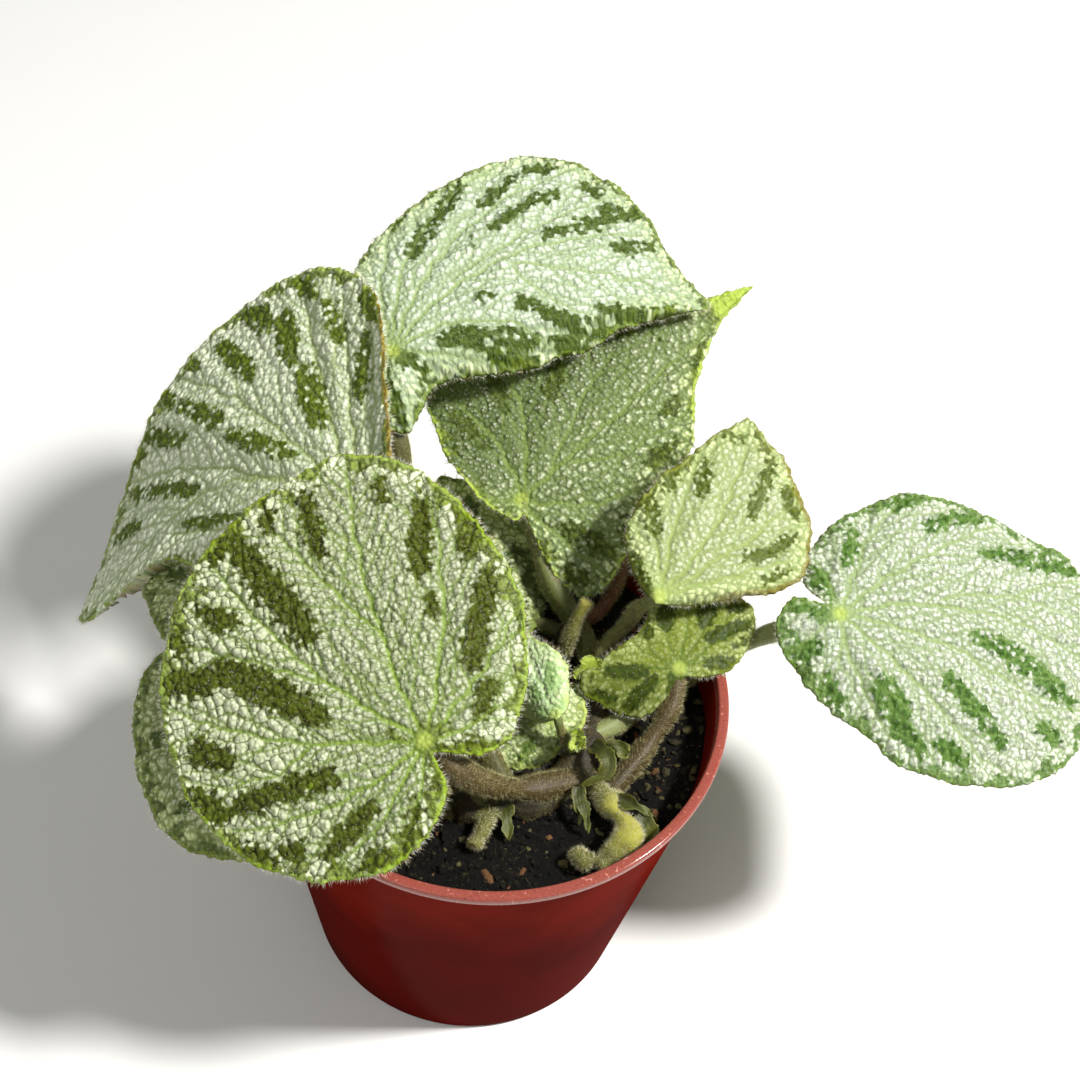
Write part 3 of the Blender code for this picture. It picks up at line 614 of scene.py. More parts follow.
def main_veins(leaf):
    """The main veins as given, or one to each point of the margin where none are given, each with
    its half width."""
    ends = [leaf.tip, *leaf.left[1::2], *leaf.right[::2]]
    veins = leaf.veins or [(end[0] * 0.93, end[1] * 0.93, 0.6) for end in ends]
    lines = []
    for *start, x1, y1, bow in veins:
        x0, y0 = start or (0, 0)
        length = math.hypot(x1 - x0, y1 - y0)
        line = bowed(x0, y0, x1, y1, bow, max(int(length / 0.3), 4))
        along = np.linspace(0, 1, len(line))
        drift = np.stack([soft_noise([(x, y, z) for x, y in line], 5.0) for z in (1, 40)], axis=1)
        line = line + drift * 1.3 * (4 * along * (1 - along))[:, None] ** 0.5 * min(1, length / 30)
        wide = (FORKED_VEIN if start else MAIN_VEIN) * min(1.0, 0.5 + length / 60)
        lines.append((line, wide * (1 - 0.6 * along)))
    return lines


def side_veins(mains, tables, seed):
    """Fine veins that leave the main ones at about 45 degrees and die out between them."""
    dice = np.random.default_rng(seed)
    owners = np.repeat(np.arange(len(mains)), [len(line) for line, _ in mains])
    tree = tree_of(np.concatenate([line for line, _ in mains]))
    made = []
    for owner, (line, _) in enumerate(mains):
        ahead = unit(np.gradient(line, axis=0))
        at = dice.uniform(14, 20)
        side = 1
        while at < len(line) - 6:
            spot, way = line[int(at)], ahead[int(at)]
            turn = side * math.radians(dice.uniform(38, 52))
            track = [spot]
            for count in range(FINE_VEIN_STEPS):
                angle = turn * (1 - 0.012 * count)
                heading = np.array((way[0] * math.cos(angle) - way[1] * math.sin(angle),
                                    way[0] * math.sin(angle) + way[1] * math.cos(angle)))
                spot = spot + heading * FINE_VEIN_STEP
                share, _ = share_and_lift(tables, *spot)
                _, index, distance = tree.find((*spot, 0))
                if share > 0.97 or (count > 5 and distance < 0.9 and owners[index] != owner):
                    break
                track.append(spot)
            if len(track) > 5:
                made.append((np.array(track), FINE_VEIN * (1 - 0.6 * np.linspace(0, 1, len(track)))))
            side = -side
            at += dice.uniform(7, 11)
    return made


def cell_scale(radius, cell):
    """How many cells lie between the junction and this radius: they are smaller near it."""
    return (radius + CROWDING * (1 - np.exp(-radius / CROWDED))) / cell


def unscale(cells, cell):
    """The radius that this many cells reach to."""
    radius = np.linspace(0, 140, 1400)
    return np.interp(cells, cell_scale(radius, cell), radius)


def puckers(x, y, cell, seed):
    """A net of cells: for each point the distance to the closest border, its own cell and the one
    behind that border, and then the place of every cell's middle."""
    radius = np.maximum(np.hypot(x, y), 1e-6)
    scaled = cell_scale(radius, cell)
    u, v = x / radius * scaled, y / radius * scaled
    low_u, low_v = int(u.min()) - 4, int(v.min()) - 4
    size = (int(u.max()) - low_u + 5, int(v.max()) - low_v + 5)
    squares = np.stack(np.meshgrid(np.arange(size[0]) + low_u, np.arange(size[1]) + low_v, indexing="ij"), -1)
    places = (squares + 0.5 + (rolled(size[0], seed, size[1], 2) - 0.5) * JITTER).reshape(-1, 2)
    column, row = np.floor(u).astype(int) - low_u, np.floor(v).astype(int) - low_v
    best, second = np.full((2, len(x)), 1e9)
    owner, rival = np.zeros((2, len(x)), int)
    for across in range(-2, 3):
        for along in range(-2, 3):
            number = (column + across) * size[1] + row + along
            far = (places[number, 0] - u) ** 2 + (places[number, 1] - v) ** 2
            closer = far < best
            runner = ~closer & (far < second)
            second = np.where(closer, best, np.where(runner, far, second))
            rival = np.where(closer, owner, np.where(runner, number, rival))
            best = np.where(closer, far, best)
            owner = np.where(closer, number, owner)
    apart = length_of(places[owner] - places[rival])
    border = (second - best) / (2 * np.maximum(apart, 1e-6)) * radius / scaled
    reach = length_of(places)
    places = places / np.maximum(reach, 1e-6)[:, None] * unscale(reach, cell)[:, None]
    return border, owner, rival, places


def streaks_of(leaf, mains):
    """The dark streaks as given, or one in every space between main veins."""
    if leaf.streaks:
        return leaf.streaks
    ends = sorted((math.atan2(line[-1][1], line[-1][0]), np.linalg.norm(line[-1])) for line, _ in mains)
    made = []
    for (angle, reach), (after, other) in zip(ends, ends[1:]):
        middle, size = (angle + after) / 2, min(reach, other)
        x, y = math.cos(middle) * size, math.sin(middle) * size
        made.append((x * 0.95, y * 0.95, x * 0.55, y * 0.55, PLAIN_STREAK))
    return made


def streak_field(streaks, places):
    """How deep each place lies in the streaks, in millimetres, below zero outside them."""
    depth = np.full(len(places), -9.0)
    for x0, y0, x1, y1, width, *bow in streaks:
        count = max(int(math.hypot(x1 - x0, y1 - y0) / 0.8), 2)
        wide = width / 2 * (0.72 + 0.28 * np.sin(math.pi * np.linspace(0, 1, count)))
        for spot, half in zip(bowed(x0, y0, x1, y1, bow[0] if bow else 0, count), wide):
            depth = np.maximum(depth, half - np.hypot(places[:, 0] - spot[0], places[:, 1] - spot[1]))
    return depth


def lattice(tables, line, grain):
    """Flat points on a three-way lattice inside the margin, with its border moved onto the margin,
    and the triangles between them. Border points come with a True."""
    low, high = line[:, :2].min(0) - 2 * grain, line[:, :2].max(0) + 2 * grain
    tall = grain * math.sqrt(3) / 2
    columns, rows = int((high[0] - low[0]) / grain) + 2, int((high[1] - low[1]) / tall) + 2
    column, row = np.meshgrid(np.arange(columns), np.arange(rows))
    x = (low[0] + (column + 0.5 * (row % 2)) * grain).ravel()
    y = (low[1] + row * tall).ravel()
    share, _ = share_and_lift(tables, x, y)
    inside = share < 1 - 0.2 * grain / np.maximum(np.hypot(x, y), 1)
    first = (row[:-1, :-1] * columns + column[:-1, :-1]).ravel()
    odd = (row[:-1, :-1] % 2).ravel().astype(bool)
    a, b, c, d = first, first + 1, first + columns, first + columns + 1
    even_faces = np.concatenate([np.stack([a, b, c], 1), np.stack([b, d, c], 1)])
    odd_faces = np.concatenate([np.stack([a, d, c], 1), np.stack([a, b, d], 1)])
    faces = np.where(np.concatenate([odd, odd])[:, None], odd_faces, even_faces)
    faces = faces[inside[faces].any(1)]
    outside = np.unique(faces[~inside[faces]])
    _, margin = nearest(line[:, :2], np.stack([x[outside], y[outside]], 1))
    goal = np.arange(len(x))
    first_of = {}
    for point, spot in zip(outside, margin):
        goal[point] = first_of.setdefault(spot, point)
        x[point], y[point] = line[spot, :2]
    faces = goal[faces]
    faces = faces[(faces != np.roll(faces, 1, axis=1)).all(1)]
    used, renumbered = np.unique(faces, return_inverse=True)
    return x[used], y[used], renumbered.reshape(-1, 3), ~inside[used]


def turn_of(leaf):
    return np.array(
        Matrix.Rotation(math.radians(leaf.heading), 3, "Z")
        @ Matrix.Rotation(math.radians(-leaf.rise), 3, "Y")
        @ Matrix.Rotation(math.radians(leaf.roll), 3, "X")
    )


def placed(leaf, x, y, z):
    """Points of the blade's own frame, hooked and set at the junction."""
    y = y + leaf.hook * np.maximum(x / leaf.tip[0], 0) ** 3
    return np.stack([x, y, z], axis=-1) @ turn_of(leaf).T + np.array(leaf.junction)


# Blades


def survey(leaf, line, tables, x, y, seed):
    """For each flat point how far out it lies, and how near the margin, the main veins and the
    fine ones are."""
    flat = np.stack([x, y], 1)
    share, lift = share_and_lift(tables, x, y)
    near = SimpleNamespace(share=np.minimum(share, 1), lift=lift, mains=main_veins(leaf))
    fines = side_veins(near.mains, tables, seed) or near.mains
    near.gap, which = nearest(np.concatenate([points for points, _ in near.mains]), flat)
    near.wide = np.concatenate([wide for _, wide in near.mains])[which]
    near.fine_gap, which = nearest(np.concatenate([points for points, _ in fines]), flat)
    near.fine_wide = np.concatenate([wide for _, wide in fines])[which]
    near.edge, _ = nearest(line[:, :2], flat)
    return near


def pull_to_creases(leaf, near, x, y, on_margin, seed):
    """Moves the points beside a crease into it, so that creases between puckers stay sharp, and
    measures the smaller cells on the puckers."""
    near.border, owner, rival, places = puckers(x, y, leaf.cell * COARSE, seed)
    crease = (near.border < CREASE_PULL * leaf.grain) & ~on_margin & (near.gap > leaf.grain)
    pull = unit(places[rival] - places[owner]) * (near.border * crease)[:, None]
    x, y = x + pull[:, 0], y + pull[:, 1]
    near.border = np.where(crease, 0, near.border)
    near.lumpy = 0.7 + 0.6 * rolled(len(places), seed + 1)[owner]
    near.small_border, near.owner, _, near.places = puckers(x, y, leaf.cell * SMALL, seed + 9)
    near.radius = np.hypot(x, y)
    return x, y


def relief_of(leaf, near, on_margin):
    """How swollen each point is, from 0 in the net to 1 on a pucker, its height, and the depth of
    the rib under it."""
    clear = np.maximum(near.gap - near.wide * 0.7, 0)
    clear = np.minimum(clear, np.maximum(near.fine_gap - near.fine_wide * 0.5, 0))
    clear = np.minimum(near.border, clear)
    swell = 1 - bell(clear, leaf.flank * leaf.cell * COARSE)
    bump = np.clip(np.minimum(near.small_border, clear) / (0.42 * leaf.cell * SMALL), 0, 1)
    bump = 1 - (1 - bump) ** 2
    dome = swell + leaf.lumps * (bump - swell)
    tall = DOME * leaf.relief * leaf.cell / PLAIN_CELL * near.lumpy * step(near.radius, 0.5, 5)
    groove = bell(near.gap, near.wide + 0.35) * (0.6 + near.wide)
    groove = (groove + 0.35 * bell(near.fine_gap, 0.4)) * (0.3 + 0.7 * step(near.radius, 1, 6))
    grown = step(leaf.tip[0], 12, 60)
    puff = BROAD_PUFF * grown * (1 - bell(near.gap, 4.0)) * np.sin(math.pi * np.clip(near.share, 0, 1) ** 0.8)
    ease = step(near.edge, 0, 0.4)
    height = near.lift * near.share**2 + puff + (tall * dome - VEIN_GROOVE * groove) * (0.35 + 0.65 * ease)
    rib = UNDER_RIB * bell(near.gap, near.wide + 0.3) * (0.5 + near.wide) * ease
    return dome, np.where(on_margin, near.lift, height), rib


def paint_of(leaf, near, tables, x, y, seed):
    """Painted values of the upper face: veins, dark streaks and band, rim, and each cell's tone."""
    vein = bell(near.gap, near.wide + 0.16) * (1 - 0.3 * near.share)
    vein = np.maximum(vein, bell(near.radius, 3.0))
    vein = np.maximum(vein, 0.5 * bell(near.fine_gap, 0.26))

    # Whole cells are painted: those whose middles lie in a streak or in the band at the margin
    places, owner, count = near.places, near.owner, len(near.places)
    centre_share, _ = share_and_lift(tables, places[:, 0], places[:, 1])
    centre_gap = (1 - centre_share) * length_of(places)
    chance = rolled(count, seed + 2)
    ragged = (chance - 0.5) * RAGGED * min(leaf.relief, 1)
    depth = streak_field(streaks_of(leaf, near.mains), places) + 0.4 + ragged
    blotch = 0.5 + 0.9 * soft_noise([(x, y, seed) for x, y in places], 4.5)
    band = leaf.band * (2.0 * blotch - 0.2 + 0.3 * rolled(count, seed + 3)) - centre_gap
    filled = chance < 1 - leaf.specks
    deep, pale = step(depth, -0.1, 0.2) * filled, 0.9 * step(band, -0.1, 0.3) * filled
    streak = np.maximum(deep, pale)[owner]
    rim = np.maximum(1 - step(near.edge, 0.1, 0.6 + 2.0 * blotch[owner]), 0.6 * (pale * (1 - deep))[owner])
    rim = np.maximum(rim, 0.4 * (1 - step(near.edge, 1.5, 8)))
    if leaf.bare_tip:
        bare = 1 - step(np.hypot(x - leaf.tip[0], y), 0.6 * leaf.bare_tip, leaf.bare_tip)
        streak, rim = np.maximum(streak, bare), np.maximum(rim, 0.85 * bare)
    if leaf.blush:
        angle, (low, high) = np.degrees(np.arctan2(y, x)), leaf.blush
        blush = step(angle, low, low + 8) * (1 - step(angle, high - 8, high))
        rim = rim + blush * (1 - step(near.edge, 0.7, 2.2))

    tone = rolled(count, seed + 4)[owner]
    tone = np.where(near.radius < 4, -bell(near.radius, 2.6), tone)
    return dict(vein=vein, streak=streak, rim=rim, tone=tone, along=x * MM, across=y * MM)


def add_blade(form, leaf, seed):
    """A blade: a lattice inside the margin, raised into puckers, and its lower side."""
    line, outward = margin_of(leaf)
    tables = around(line)
    x, y, faces, on_margin = lattice(tables, line, leaf.grain)
    near = survey(leaf, line, tables, x, y, seed)
    x, y = pull_to_creases(leaf, near, x, y, on_margin, seed)
    dome, height, rib = relief_of(leaf, near, on_margin)
    paint = paint_of(leaf, near, tables, x, y, seed)
    thick = BLADE * (1 - 0.65 * np.minimum(paint["rim"], 1))
    under = placed(leaf, x, y, np.where(on_margin, height, height - thick - rib))
    upper = placed(leaf, x, y, height)

    below = ~on_margin
    lower = np.arange(len(x))
    lower[below] = len(x) + np.arange(below.sum())
    paint = {key: np.append(values, values[below]) for key, values in dict(paint, dome=dome).items()}
    sides = np.repeat((UPPER, UNDER), len(faces))
    points = np.concatenate([upper, under[below]])
    form.add(points, np.concatenate([faces, lower[faces][:, ::-1]]), sides, **paint)
    add_fuzz(form, upper, faces, UPPER_HAIRS, DOWN, seed + 5)
    add_fuzz(form, under, faces[:, ::-1], UNDER_HAIRS, DOWN, seed + 6)
    add_margin_hairs(form, leaf, line, outward, seed + 7)


def add_margin_hairs(form, leaf, line, outward, seed):
    """A dense fringe of short hairs all along the margin."""
    dice = np.random.default_rng(seed)
    count = int(len(line) * MARGIN_STEP * MARGIN_HAIRS)
    picks = dice.choice(np.flatnonzero(length_of(line[:, :2]) > 3), count)
    roots = placed(leaf, *line[picks].T)
    turn = turn_of(leaf)
    out = np.stack([*outward[picks].T, np.zeros(count)], 1) @ turn.T
    ahead = np.stack([-outward[picks, 1], outward[picks, 0], np.zeros(count)], 1) @ turn.T
    ways = out + ahead * dice.normal(0, 0.35, (count, 1)) + turn[:, 2] * dice.normal(0.12, 0.45, (count, 1))
    lengths = 0.6 + 1.2 * dice.random(count) ** 1.5
    add_hairs(form, roots, ways, lengths, MARGIN_HAIR, DOWN, 0.9 * dice.random(count) ** 2)


def add_stalk(form, leaf, seed):
    """A ridged, hairy stalk from the rhizome to the junction, where it flares into the veins."""
    junction = np.array(leaf.junction, float)
    root, after, last = (np.array(leaf.stalk[index], float) for index in (0, 1, -1))
    outward = turn_of(leaf)[:, 2]
    neck = junction + (unit(last - junction) - outward) * leaf.girth * NECK
    dive = unit(root - after) * 1.2 - (0, 0, 3.2)
    way = [tuple(root + dive), *leaf.stalk, tuple(neck), tuple(junction - outward * (BLADE + 0.75))]
    swell = [1.1, 1.12] + [1] * (len(leaf.stalk) - 1) + [0.85, 0.62]
    phase = rolled(4, seed) * math.tau

    def ripple(along, angle):
        ridges = 0.035 * np.sin(5 * angle + phase[0] + along * 0.05) + 0.018 * np.sin(11 * angle + phase[1])
        ridges = ridges + 0.02 * np.sin(along * 0.7 + phase[2])
        return ridges + 0.012 * np.sin(along * 1.9 + 3 * angle + phase[3])

    rings, along, centre = tube_rings(way, [leaf.girth * share for share in swell], 8, 28, ripple)
    points, faces = skin(rings, [centre[0], centre[-1]])
    form.add(points, faces, STALK, tone=np.append(np.repeat(along / along[-1], rings.shape[1]), [0, 1]))
    add_fuzz(form, points, faces, STALK_HAIRS, DOWN, seed + 1, comb=unit(junction - root) * 0.25)


def make_leaf(leaf, seed, finishes):
    form = Form()
    add_blade(form, leaf, seed)
    add_stalk(form, leaf, seed + 50)
    return settle(form.build(leaf.name.replace("_leaf", "_painted_leaf"), finishes), "leaf", leaf.name)


# Pot


def wall_radius(height):
    """Outer radius of the pot's wall under the lip."""
    return FOOT_RADIUS + (RIM_RADIUS - LIP_WIDTH + WALL - 0.4 - FOOT_RADIUS) * height / UNDER_LIP


def pot_profile():
    """The pot's section from the middle of its foot, up the wall, over the lip and down inside."""
    outer, inner_rim = wall_radius(UNDER_LIP), RIM_RADIUS - LIP_WIDTH
    profile = [(0, 0), (FOOT_RADIUS - 2.2, 0), (FOOT_RADIUS - 1.2, 0.12)]
    profile += [(wall_radius(0.5) - 0.35, 0.5), (wall_radius(1.2), 1.3)]
    profile += [(wall_radius(height), height) for height in np.linspace(4, UNDER_LIP - 0.5, 26)]
    profile += [(outer + 0.1, UNDER_LIP), (RIM_RADIUS - LIP_ROUND, UNDER_LIP + 0.15)]
    profile += [(RIM_RADIUS - 0.18, UNDER_LIP + 0.35), (RIM_RADIUS, UNDER_LIP + 0.8)]
    profile += [(RIM_RADIUS, POT_HEIGHT - 0.8)]
    for turn in np.linspace(0.2, math.pi / 2, 5):
        across, down = 1 - math.cos(turn), 1 - math.sin(turn)
        profile.append((RIM_RADIUS - LIP_ROUND * across, POT_HEIGHT - LIP_ROUND * down))
    for turn in np.linspace(0, math.pi / 2, 5):
        across, down = 1 - math.sin(turn), 1 - math.cos(turn)
        profile.append((inner_rim + LIP_ROUND * across, POT_HEIGHT - LIP_ROUND * down))
    profile += [(inner_rim, UNDER_LIP + 0.6), (outer - WALL, UNDER_LIP)]
    profile += [(wall_radius(height) - WALL, height) for height in np.linspace(UNDER_LIP - 3, FLOOR + 1, 14)]
    return profile + [(wall_radius(FLOOR) - WALL - 1, FLOOR), (0, FLOOR)]


def make_pot(finish):
    """A thin tapered wall with a flat floor, a rounded turned-out lip and drain holes."""
    bm = bmesh.new()
    corners = [bm.verts.new((radius * MM, 0.0, height * MM)) for radius, height in pot_profile()]
    edges = [bm.edges.new(pair) for pair in zip(corners, corners[1:])]
    bmesh.ops.spin(bm, geom=corners + edges, cent=(0, 0, 0), axis=(0, 0, 1), angle=math.tau, steps=160)
    bmesh.ops.remove_doubles(bm, verts=bm.verts, dist=MM / 100)
    bmesh.ops.recalc_face_normals(bm, faces=bm.faces)
    pot = place_bmesh("plastic_pot", bm, [finish])
    bm = bmesh.new()
    for index in range(DRAIN_HOLES):
        turn = math.tau * index / DRAIN_HOLES
        spot = Vector((math.cos(turn), math.sin(turn), 0)) * DRAIN_CIRCLE * MM
        bmesh.ops.create_cone(
            bm, cap_ends=True, segments=32, radius1=DRAIN_RADIUS * MM, radius2=DRAIN_RADIUS * MM,
            depth=4 * FLOOR * MM, matrix=Matrix.Translation(spot),
        )
    cutter = place_bmesh("drain_cutter", bm)
    cut = pot.modifiers.new("drain", "BOOLEAN")
    cut.operation, cut.object = "DIFFERENCE", cutter
    pot.data = modified(pot)
    pot.modifiers.clear()
    bpy.data.objects.remove(cutter, do_unlink=True)
    pot.data.shade_smooth()
    pot.data.set_sharp_from_angle(angle=math.radians(40))
    return settle(pot, "pot_plastic", "pot")


def place_bmesh(name, bm, finishes=()):
    mesh = bpy.data.meshes.new(name)
    bm.to_mesh(mesh)
    bm.free()
    return place(name, mesh, finishes)


def modified(piece):
    """The mesh that a piece's modifiers make."""
    return bpy.data.meshes.new_from_object(piece.evaluated_get(bpy.context.evaluated_depsgraph_get()))


# Potting mix


BURIED = smooth_path(RHIZOME_WAY[:5], 5) + smooth_path(BRANCH_WAY[:2], 3)


def mix_height(x, y):
    """Height of the mix: low lumps with crumbs on them, banked up against the rhizome."""
    spot = Vector((x, y, 3.0))
    crumbs = 0.7 * noise.noise(spot / 2.6) + 0.5 * noise.noise(spot / 1.1)
    crumbs = crumbs + 0.7 * abs(noise.noise(spot / 4.7))
    away = min(math.hypot(x - px, y - py) for px, py, _ in BURIED)
    lumps = MIX_LEVEL + MIX_LUMP * noise.noise(Vector((x, y, 0)) / MIX_LUMP_SIZE)
    return lumps + 0.9 * crumbs + 3.4 * math.exp(-((away / 7.0) ** 2))


def mix_radius(height):
    return wall_radius(height) - WALL - WALL_GAP


def plain_ball():
    """Points and triangles of a ball."""
    bm = bmesh.new()
    bmesh.ops.create_icosphere(bm, subdivisions=1, radius=1.0)
    points = np.array([vert.co for vert in bm.verts])
    faces = np.array([[vert.index for vert in face.verts] for face in bm.faces])
    bm.free()
    return points, faces


def crumb(dice, ball, centre, sizes):
    """The ball squashed and dented at random, as loose triangles so that it stays faceted."""
    points, faces = ball
    points = points * (1 + dice.uniform(-0.38, 0.38, (len(points), 1))) * sizes
    turn = Matrix.Rotation(dice.uniform(0, math.tau), 3, "Z")
    turn = turn @ Matrix.Rotation(dice.uniform(-0.7, 0.7), 3, "X")
    points = points @ np.array(turn).T + centre
    return points[faces].reshape(-1, 3), np.arange(faces.size).reshape(-1, 3)


def add_bed(form):
    """The body of the mix: its crumbled top and its sides down to the pot's floor."""
    rings, sides = 62, 210
    angle = math.tau * np.arange(sides) / sides
    grid = []
    for ring in range(1, rings + 1):
        radius = mix_radius(MIX_LEVEL) * (ring / rings) ** 0.75
        fall = 0 if ring < rings else -0.3
        row = [(radius * math.cos(a), radius * math.sin(a)) for a in angle]
        grid.append([(x, y, mix_height(x, y) + fall) for x, y in row])
    for height in (60.0, 30.0, FLOOR + CLEARANCE):
        radius = mix_radius(height) - (1 if height < 10 else 0)
        grid.append([(radius * math.cos(a), radius * math.sin(a), height) for a in angle])
    points, faces = skin(np.array(grid), [(0, 0, mix_height(0, 0)), (0, 0, FLOOR + CLEARANCE)])
    form.add(points, faces[:, ::-1], tone=(0.5 + 0.5 * soft_noise(points, 1.7)) * 0.5)


def make_mix(finish):
    """The mix with loose crumbs, grit, bark and fibres lying on it."""
    form = Form()
    add_bed(form)
    ball, inner = plain_ball(), mix_radius(MIX_LEVEL)
    dice = np.random.default_rng(MIX_SEED)
    for _ in range(CRUMBS):
        reach, turn = (inner - 0.8) * math.sqrt(dice.random()), dice.uniform(0, math.tau)
        x, y = reach * math.cos(turn), reach * math.sin(turn)
        size = 0.30 + 1.0 * dice.random() ** 3
        kind = dice.random()
        sizes = size * np.array([dice.uniform(0.8, 1.5), dice.uniform(0.7, 1.1), dice.uniform(0.5, 0.9)])
        # More pale crumbs in the patch: partly grit, partly painted light
        in_lit_grit = LIT_GRIT_PATCH_X[0] < x < LIT_GRIT_PATCH_X[1] and LIT_GRIT_PATCH_Y[0] < y < LIT_GRIT_PATCH_Y[1]
        dark_share = DARK_SHARE_IN_LIT_GRIT if in_lit_grit else DARK_SHARE
        tone = dice.uniform(0.02, 0.5) if kind < dark_share else dice.uniform(0.60, 1.0)
        if kind > 1 - BARK_SHARE / 2:
            sizes = sizes * (2.1, 1.0, 0.6)
        points, faces = crumb(dice, ball, (x, y, mix_height(x, y) + sizes[2] * 0.35), sizes)
        form.add(points, faces, tone=tone, rim=float(kind > 1 - BARK_SHARE))
    reach, turn = (inner - 5) * np.sqrt(dice.random(FIBRES)), dice.uniform(0, math.tau, FIBRES)
    spots = [(r * math.cos(t), r * math.sin(t)) for r, t in zip(reach, turn)]
    roots = np.array([(x, y, mix_height(x, y) + 0.15) for x, y in spots])
    ways = np.stack([*dice.normal(0, 1, (2, FIBRES)), dice.normal(0.12, 0.15, FIBRES)], axis=1)
    lengths, tones = dice.uniform(1.5, 5.0, FIBRES), dice.uniform(0.3, 0.9, FIBRES)
    add_hairs(form, roots, ways, lengths, FIBRE, 0, tones)
    return settle(form.build("crumbled_mix", [finish]), "potting_mix", "potting_mix")


# Rhizome, stubs and bracts


def grown_together(ways):
    """One skin over several tubes, which swells softly where they meet: its points, triangles and
    normals."""
    form = Form()
    for way, girths in ways:
        rings, _, centre = tube_rings(way, girths, 6, 24)
        form.add(*skin(rings, [centre[0], centre[-1]]))
    rough = form.build("rough_rhizome", [])
    weld = rough.modifiers.new("skin", "REMESH")
    weld.mode, weld.voxel_size = "VOXEL", 0.75 * MM
    soften = rough.modifiers.new("soften", "SMOOTH")
    soften.factor, soften.iterations = 0.6, 6
    mesh = modified(rough)
    mesh.calc_loop_triangles()
    points, normals = np.empty((2, len(mesh.vertices) * 3))
    mesh.vertices.foreach_get("co", points)
    mesh.vertices.foreach_get("normal", normals)
    faces = np.empty(len(mesh.loop_triangles) * 3, int)
    mesh.loop_triangles.foreach_get("vertices", faces)
    bpy.data.objects.remove(rough, do_unlink=True)
    return points.reshape(-1, 3) / MM, faces.reshape(-1, 3), normals.reshape(-1, 3)


def make_rhizome(finishes):
    """The creeping stem with its branch, roots and stubs, lumpy and hairy."""
    ways = [
        ([(x, y, z - SINK) for x, y, z in way], [girth * SLIM for girth in girths])
        for way, girths in ((RHIZOME_WAY, RHIZOME_GIRTH), (BRANCH_WAY, BRANCH_GIRTH))
    ]
    ways += [(way, [girth * 0.9 for girth in girths]) for way, girths in STUBS.values()]
    top = RHIZOME_WAY[0][2]
    ways += [([(x, y, top), (x, y, top - ROOT_LENGTH)], ROOT_GIRTH) for x, y in ROOT_FEET]
    points, faces, normals = grown_together(ways)
    swell = 0.38 * soft_noise(points, 3.1) + 0.16 * soft_noise(points, 1.2)
    points = points + normals * swell[:, None]
    ends = np.array([way[-1] for way, _ in STUBS.values()])
    near_end = length_of(points[:, None] - ends).min(axis=1)
    fresh = np.zeros(len(points))
    for way, girths in STUBS.values():
        for x, y, z, girth in smooth_path([(*p, g) for p, g in zip(way, girths)], 5)[3:]:
            away = length_of(points - (x, y, z))
            fresh = np.maximum(fresh, 1 - step(away, girth * 1.1, girth * 1.7))
    form = Form()
    tone = 0.5 + 0.5 * np.clip(swell * 2, -1, 1)
    form.add(points, faces, STEM, tone=tone, rim=1 - step(near_end, 1.2, 2.6), streak=fresh)
    shown = points[faces].mean(1)[:, 2] > MIX_LEVEL
    add_fuzz(form, points, faces, RHIZOME_HAIRS, STEM_DOWN, RHIZOME_SEED, keep=shown)
    add_fuzz(form, points, faces, SHOOT_HAIRS, STEM_DOWN, SHOOT_SEED, keep=fresh[faces].mean(1))
    return settle(form.build("creeping_rhizome", finishes), "rhizome", "rhizome")


def add_bract(form, way, widths, seed, bud):
    """A thin, cupped bract with a ragged, toothed edge, its face turned up and forward. A bud is
    more deeply cupped and toothed."""
    rows = np.array(smooth_path([(*point, wide) for point, wide in zip(way, widths)], 9))
    centre, wide = rows[:, :3], rows[:, 3]
    ahead = unit(np.gradient(centre, axis=0))
    up = unit(np.array((0.1, -0.55, 0.83)) - ahead * (ahead @ (0.1, -0.55, 0.83))[:, None])
    side = np.cross(up, ahead)
    share = np.linspace(0, 1, len(rows))
    across = np.linspace(-1, 1, 13)[:, None]
    dice = np.random.default_rng(seed)
    wide = wide * (1 if bud or widths[-1] > 0.7 else (1 - share**3) ** 0.8)
    teeth = 1 + (0.5 if bud else 0.28) * (dice.random((2, len(rows))) - 0.5)
    reach = across * wide * np.where(across < 0, teeth[0], teeth[1])
    wave = 0.22 * np.sin(share * 9 + across * 2.4 + seed) + (0.5 if bud else 0.3) * wide * across**2
    rib = 0.07 * np.cos(across * math.pi * 4)
    fringe = step(share, 0.72, 1.0) * (dice.random((13, 1)) - 0.4) * 1.1 * min(1.0, widths[-1] + 0.3)
    face = centre + side * reach[..., None] + up * (wave + rib)[..., None] + ahead * fringe[..., None]
    face = face.transpose(1, 0, 2)
    loop = np.concatenate([face, (face - up[:, None] * 0.16)[:, ::-1]], axis=1)
    points, faces = skin(loop, [loop[0].mean(0), loop[-1].mean(0)])
    edge = np.abs(np.concatenate([across, across[::-1]])).ravel()
    rim = np.append(np.tile(edge, len(rows)), [0, 0])
    tone = np.append(np.repeat(share, loop.shape[1]), [0, 1])
    form.add(points, faces, STEM, tone=tone, rim=rim, streak=float(bud))
    add_fuzz(form, points, faces, BUD_HAIRS if bud else BRACT_HAIRS, STEM_DOWN, seed)


def make_bracts(finishes):
    form = Form()
    for index, (name, (way, widths)) in enumerate(BRACTS.items()):
        add_bract(form, way, widths, BRACT_SEED + index, "bud" in name)
    return settle(form.build("papery_bracts", finishes), "rhizome")


# Finishes


def colour(code):
    """Red, green and blue as light, from a code such as c8d2be."""
    parts = [int(code[i : i + 2], 16) / 255 for i in (0, 2, 4)]
    return tuple(part / 12.92 if part < 0.04045 else ((part + 0.055) / 1.055) ** 2.4 for part in parts)


def mixed(share, first, second):
    """A plain colour between two others, as light."""
    return tuple(a + (b - a) * share for a, b in zip(colour(first), colour(second)))


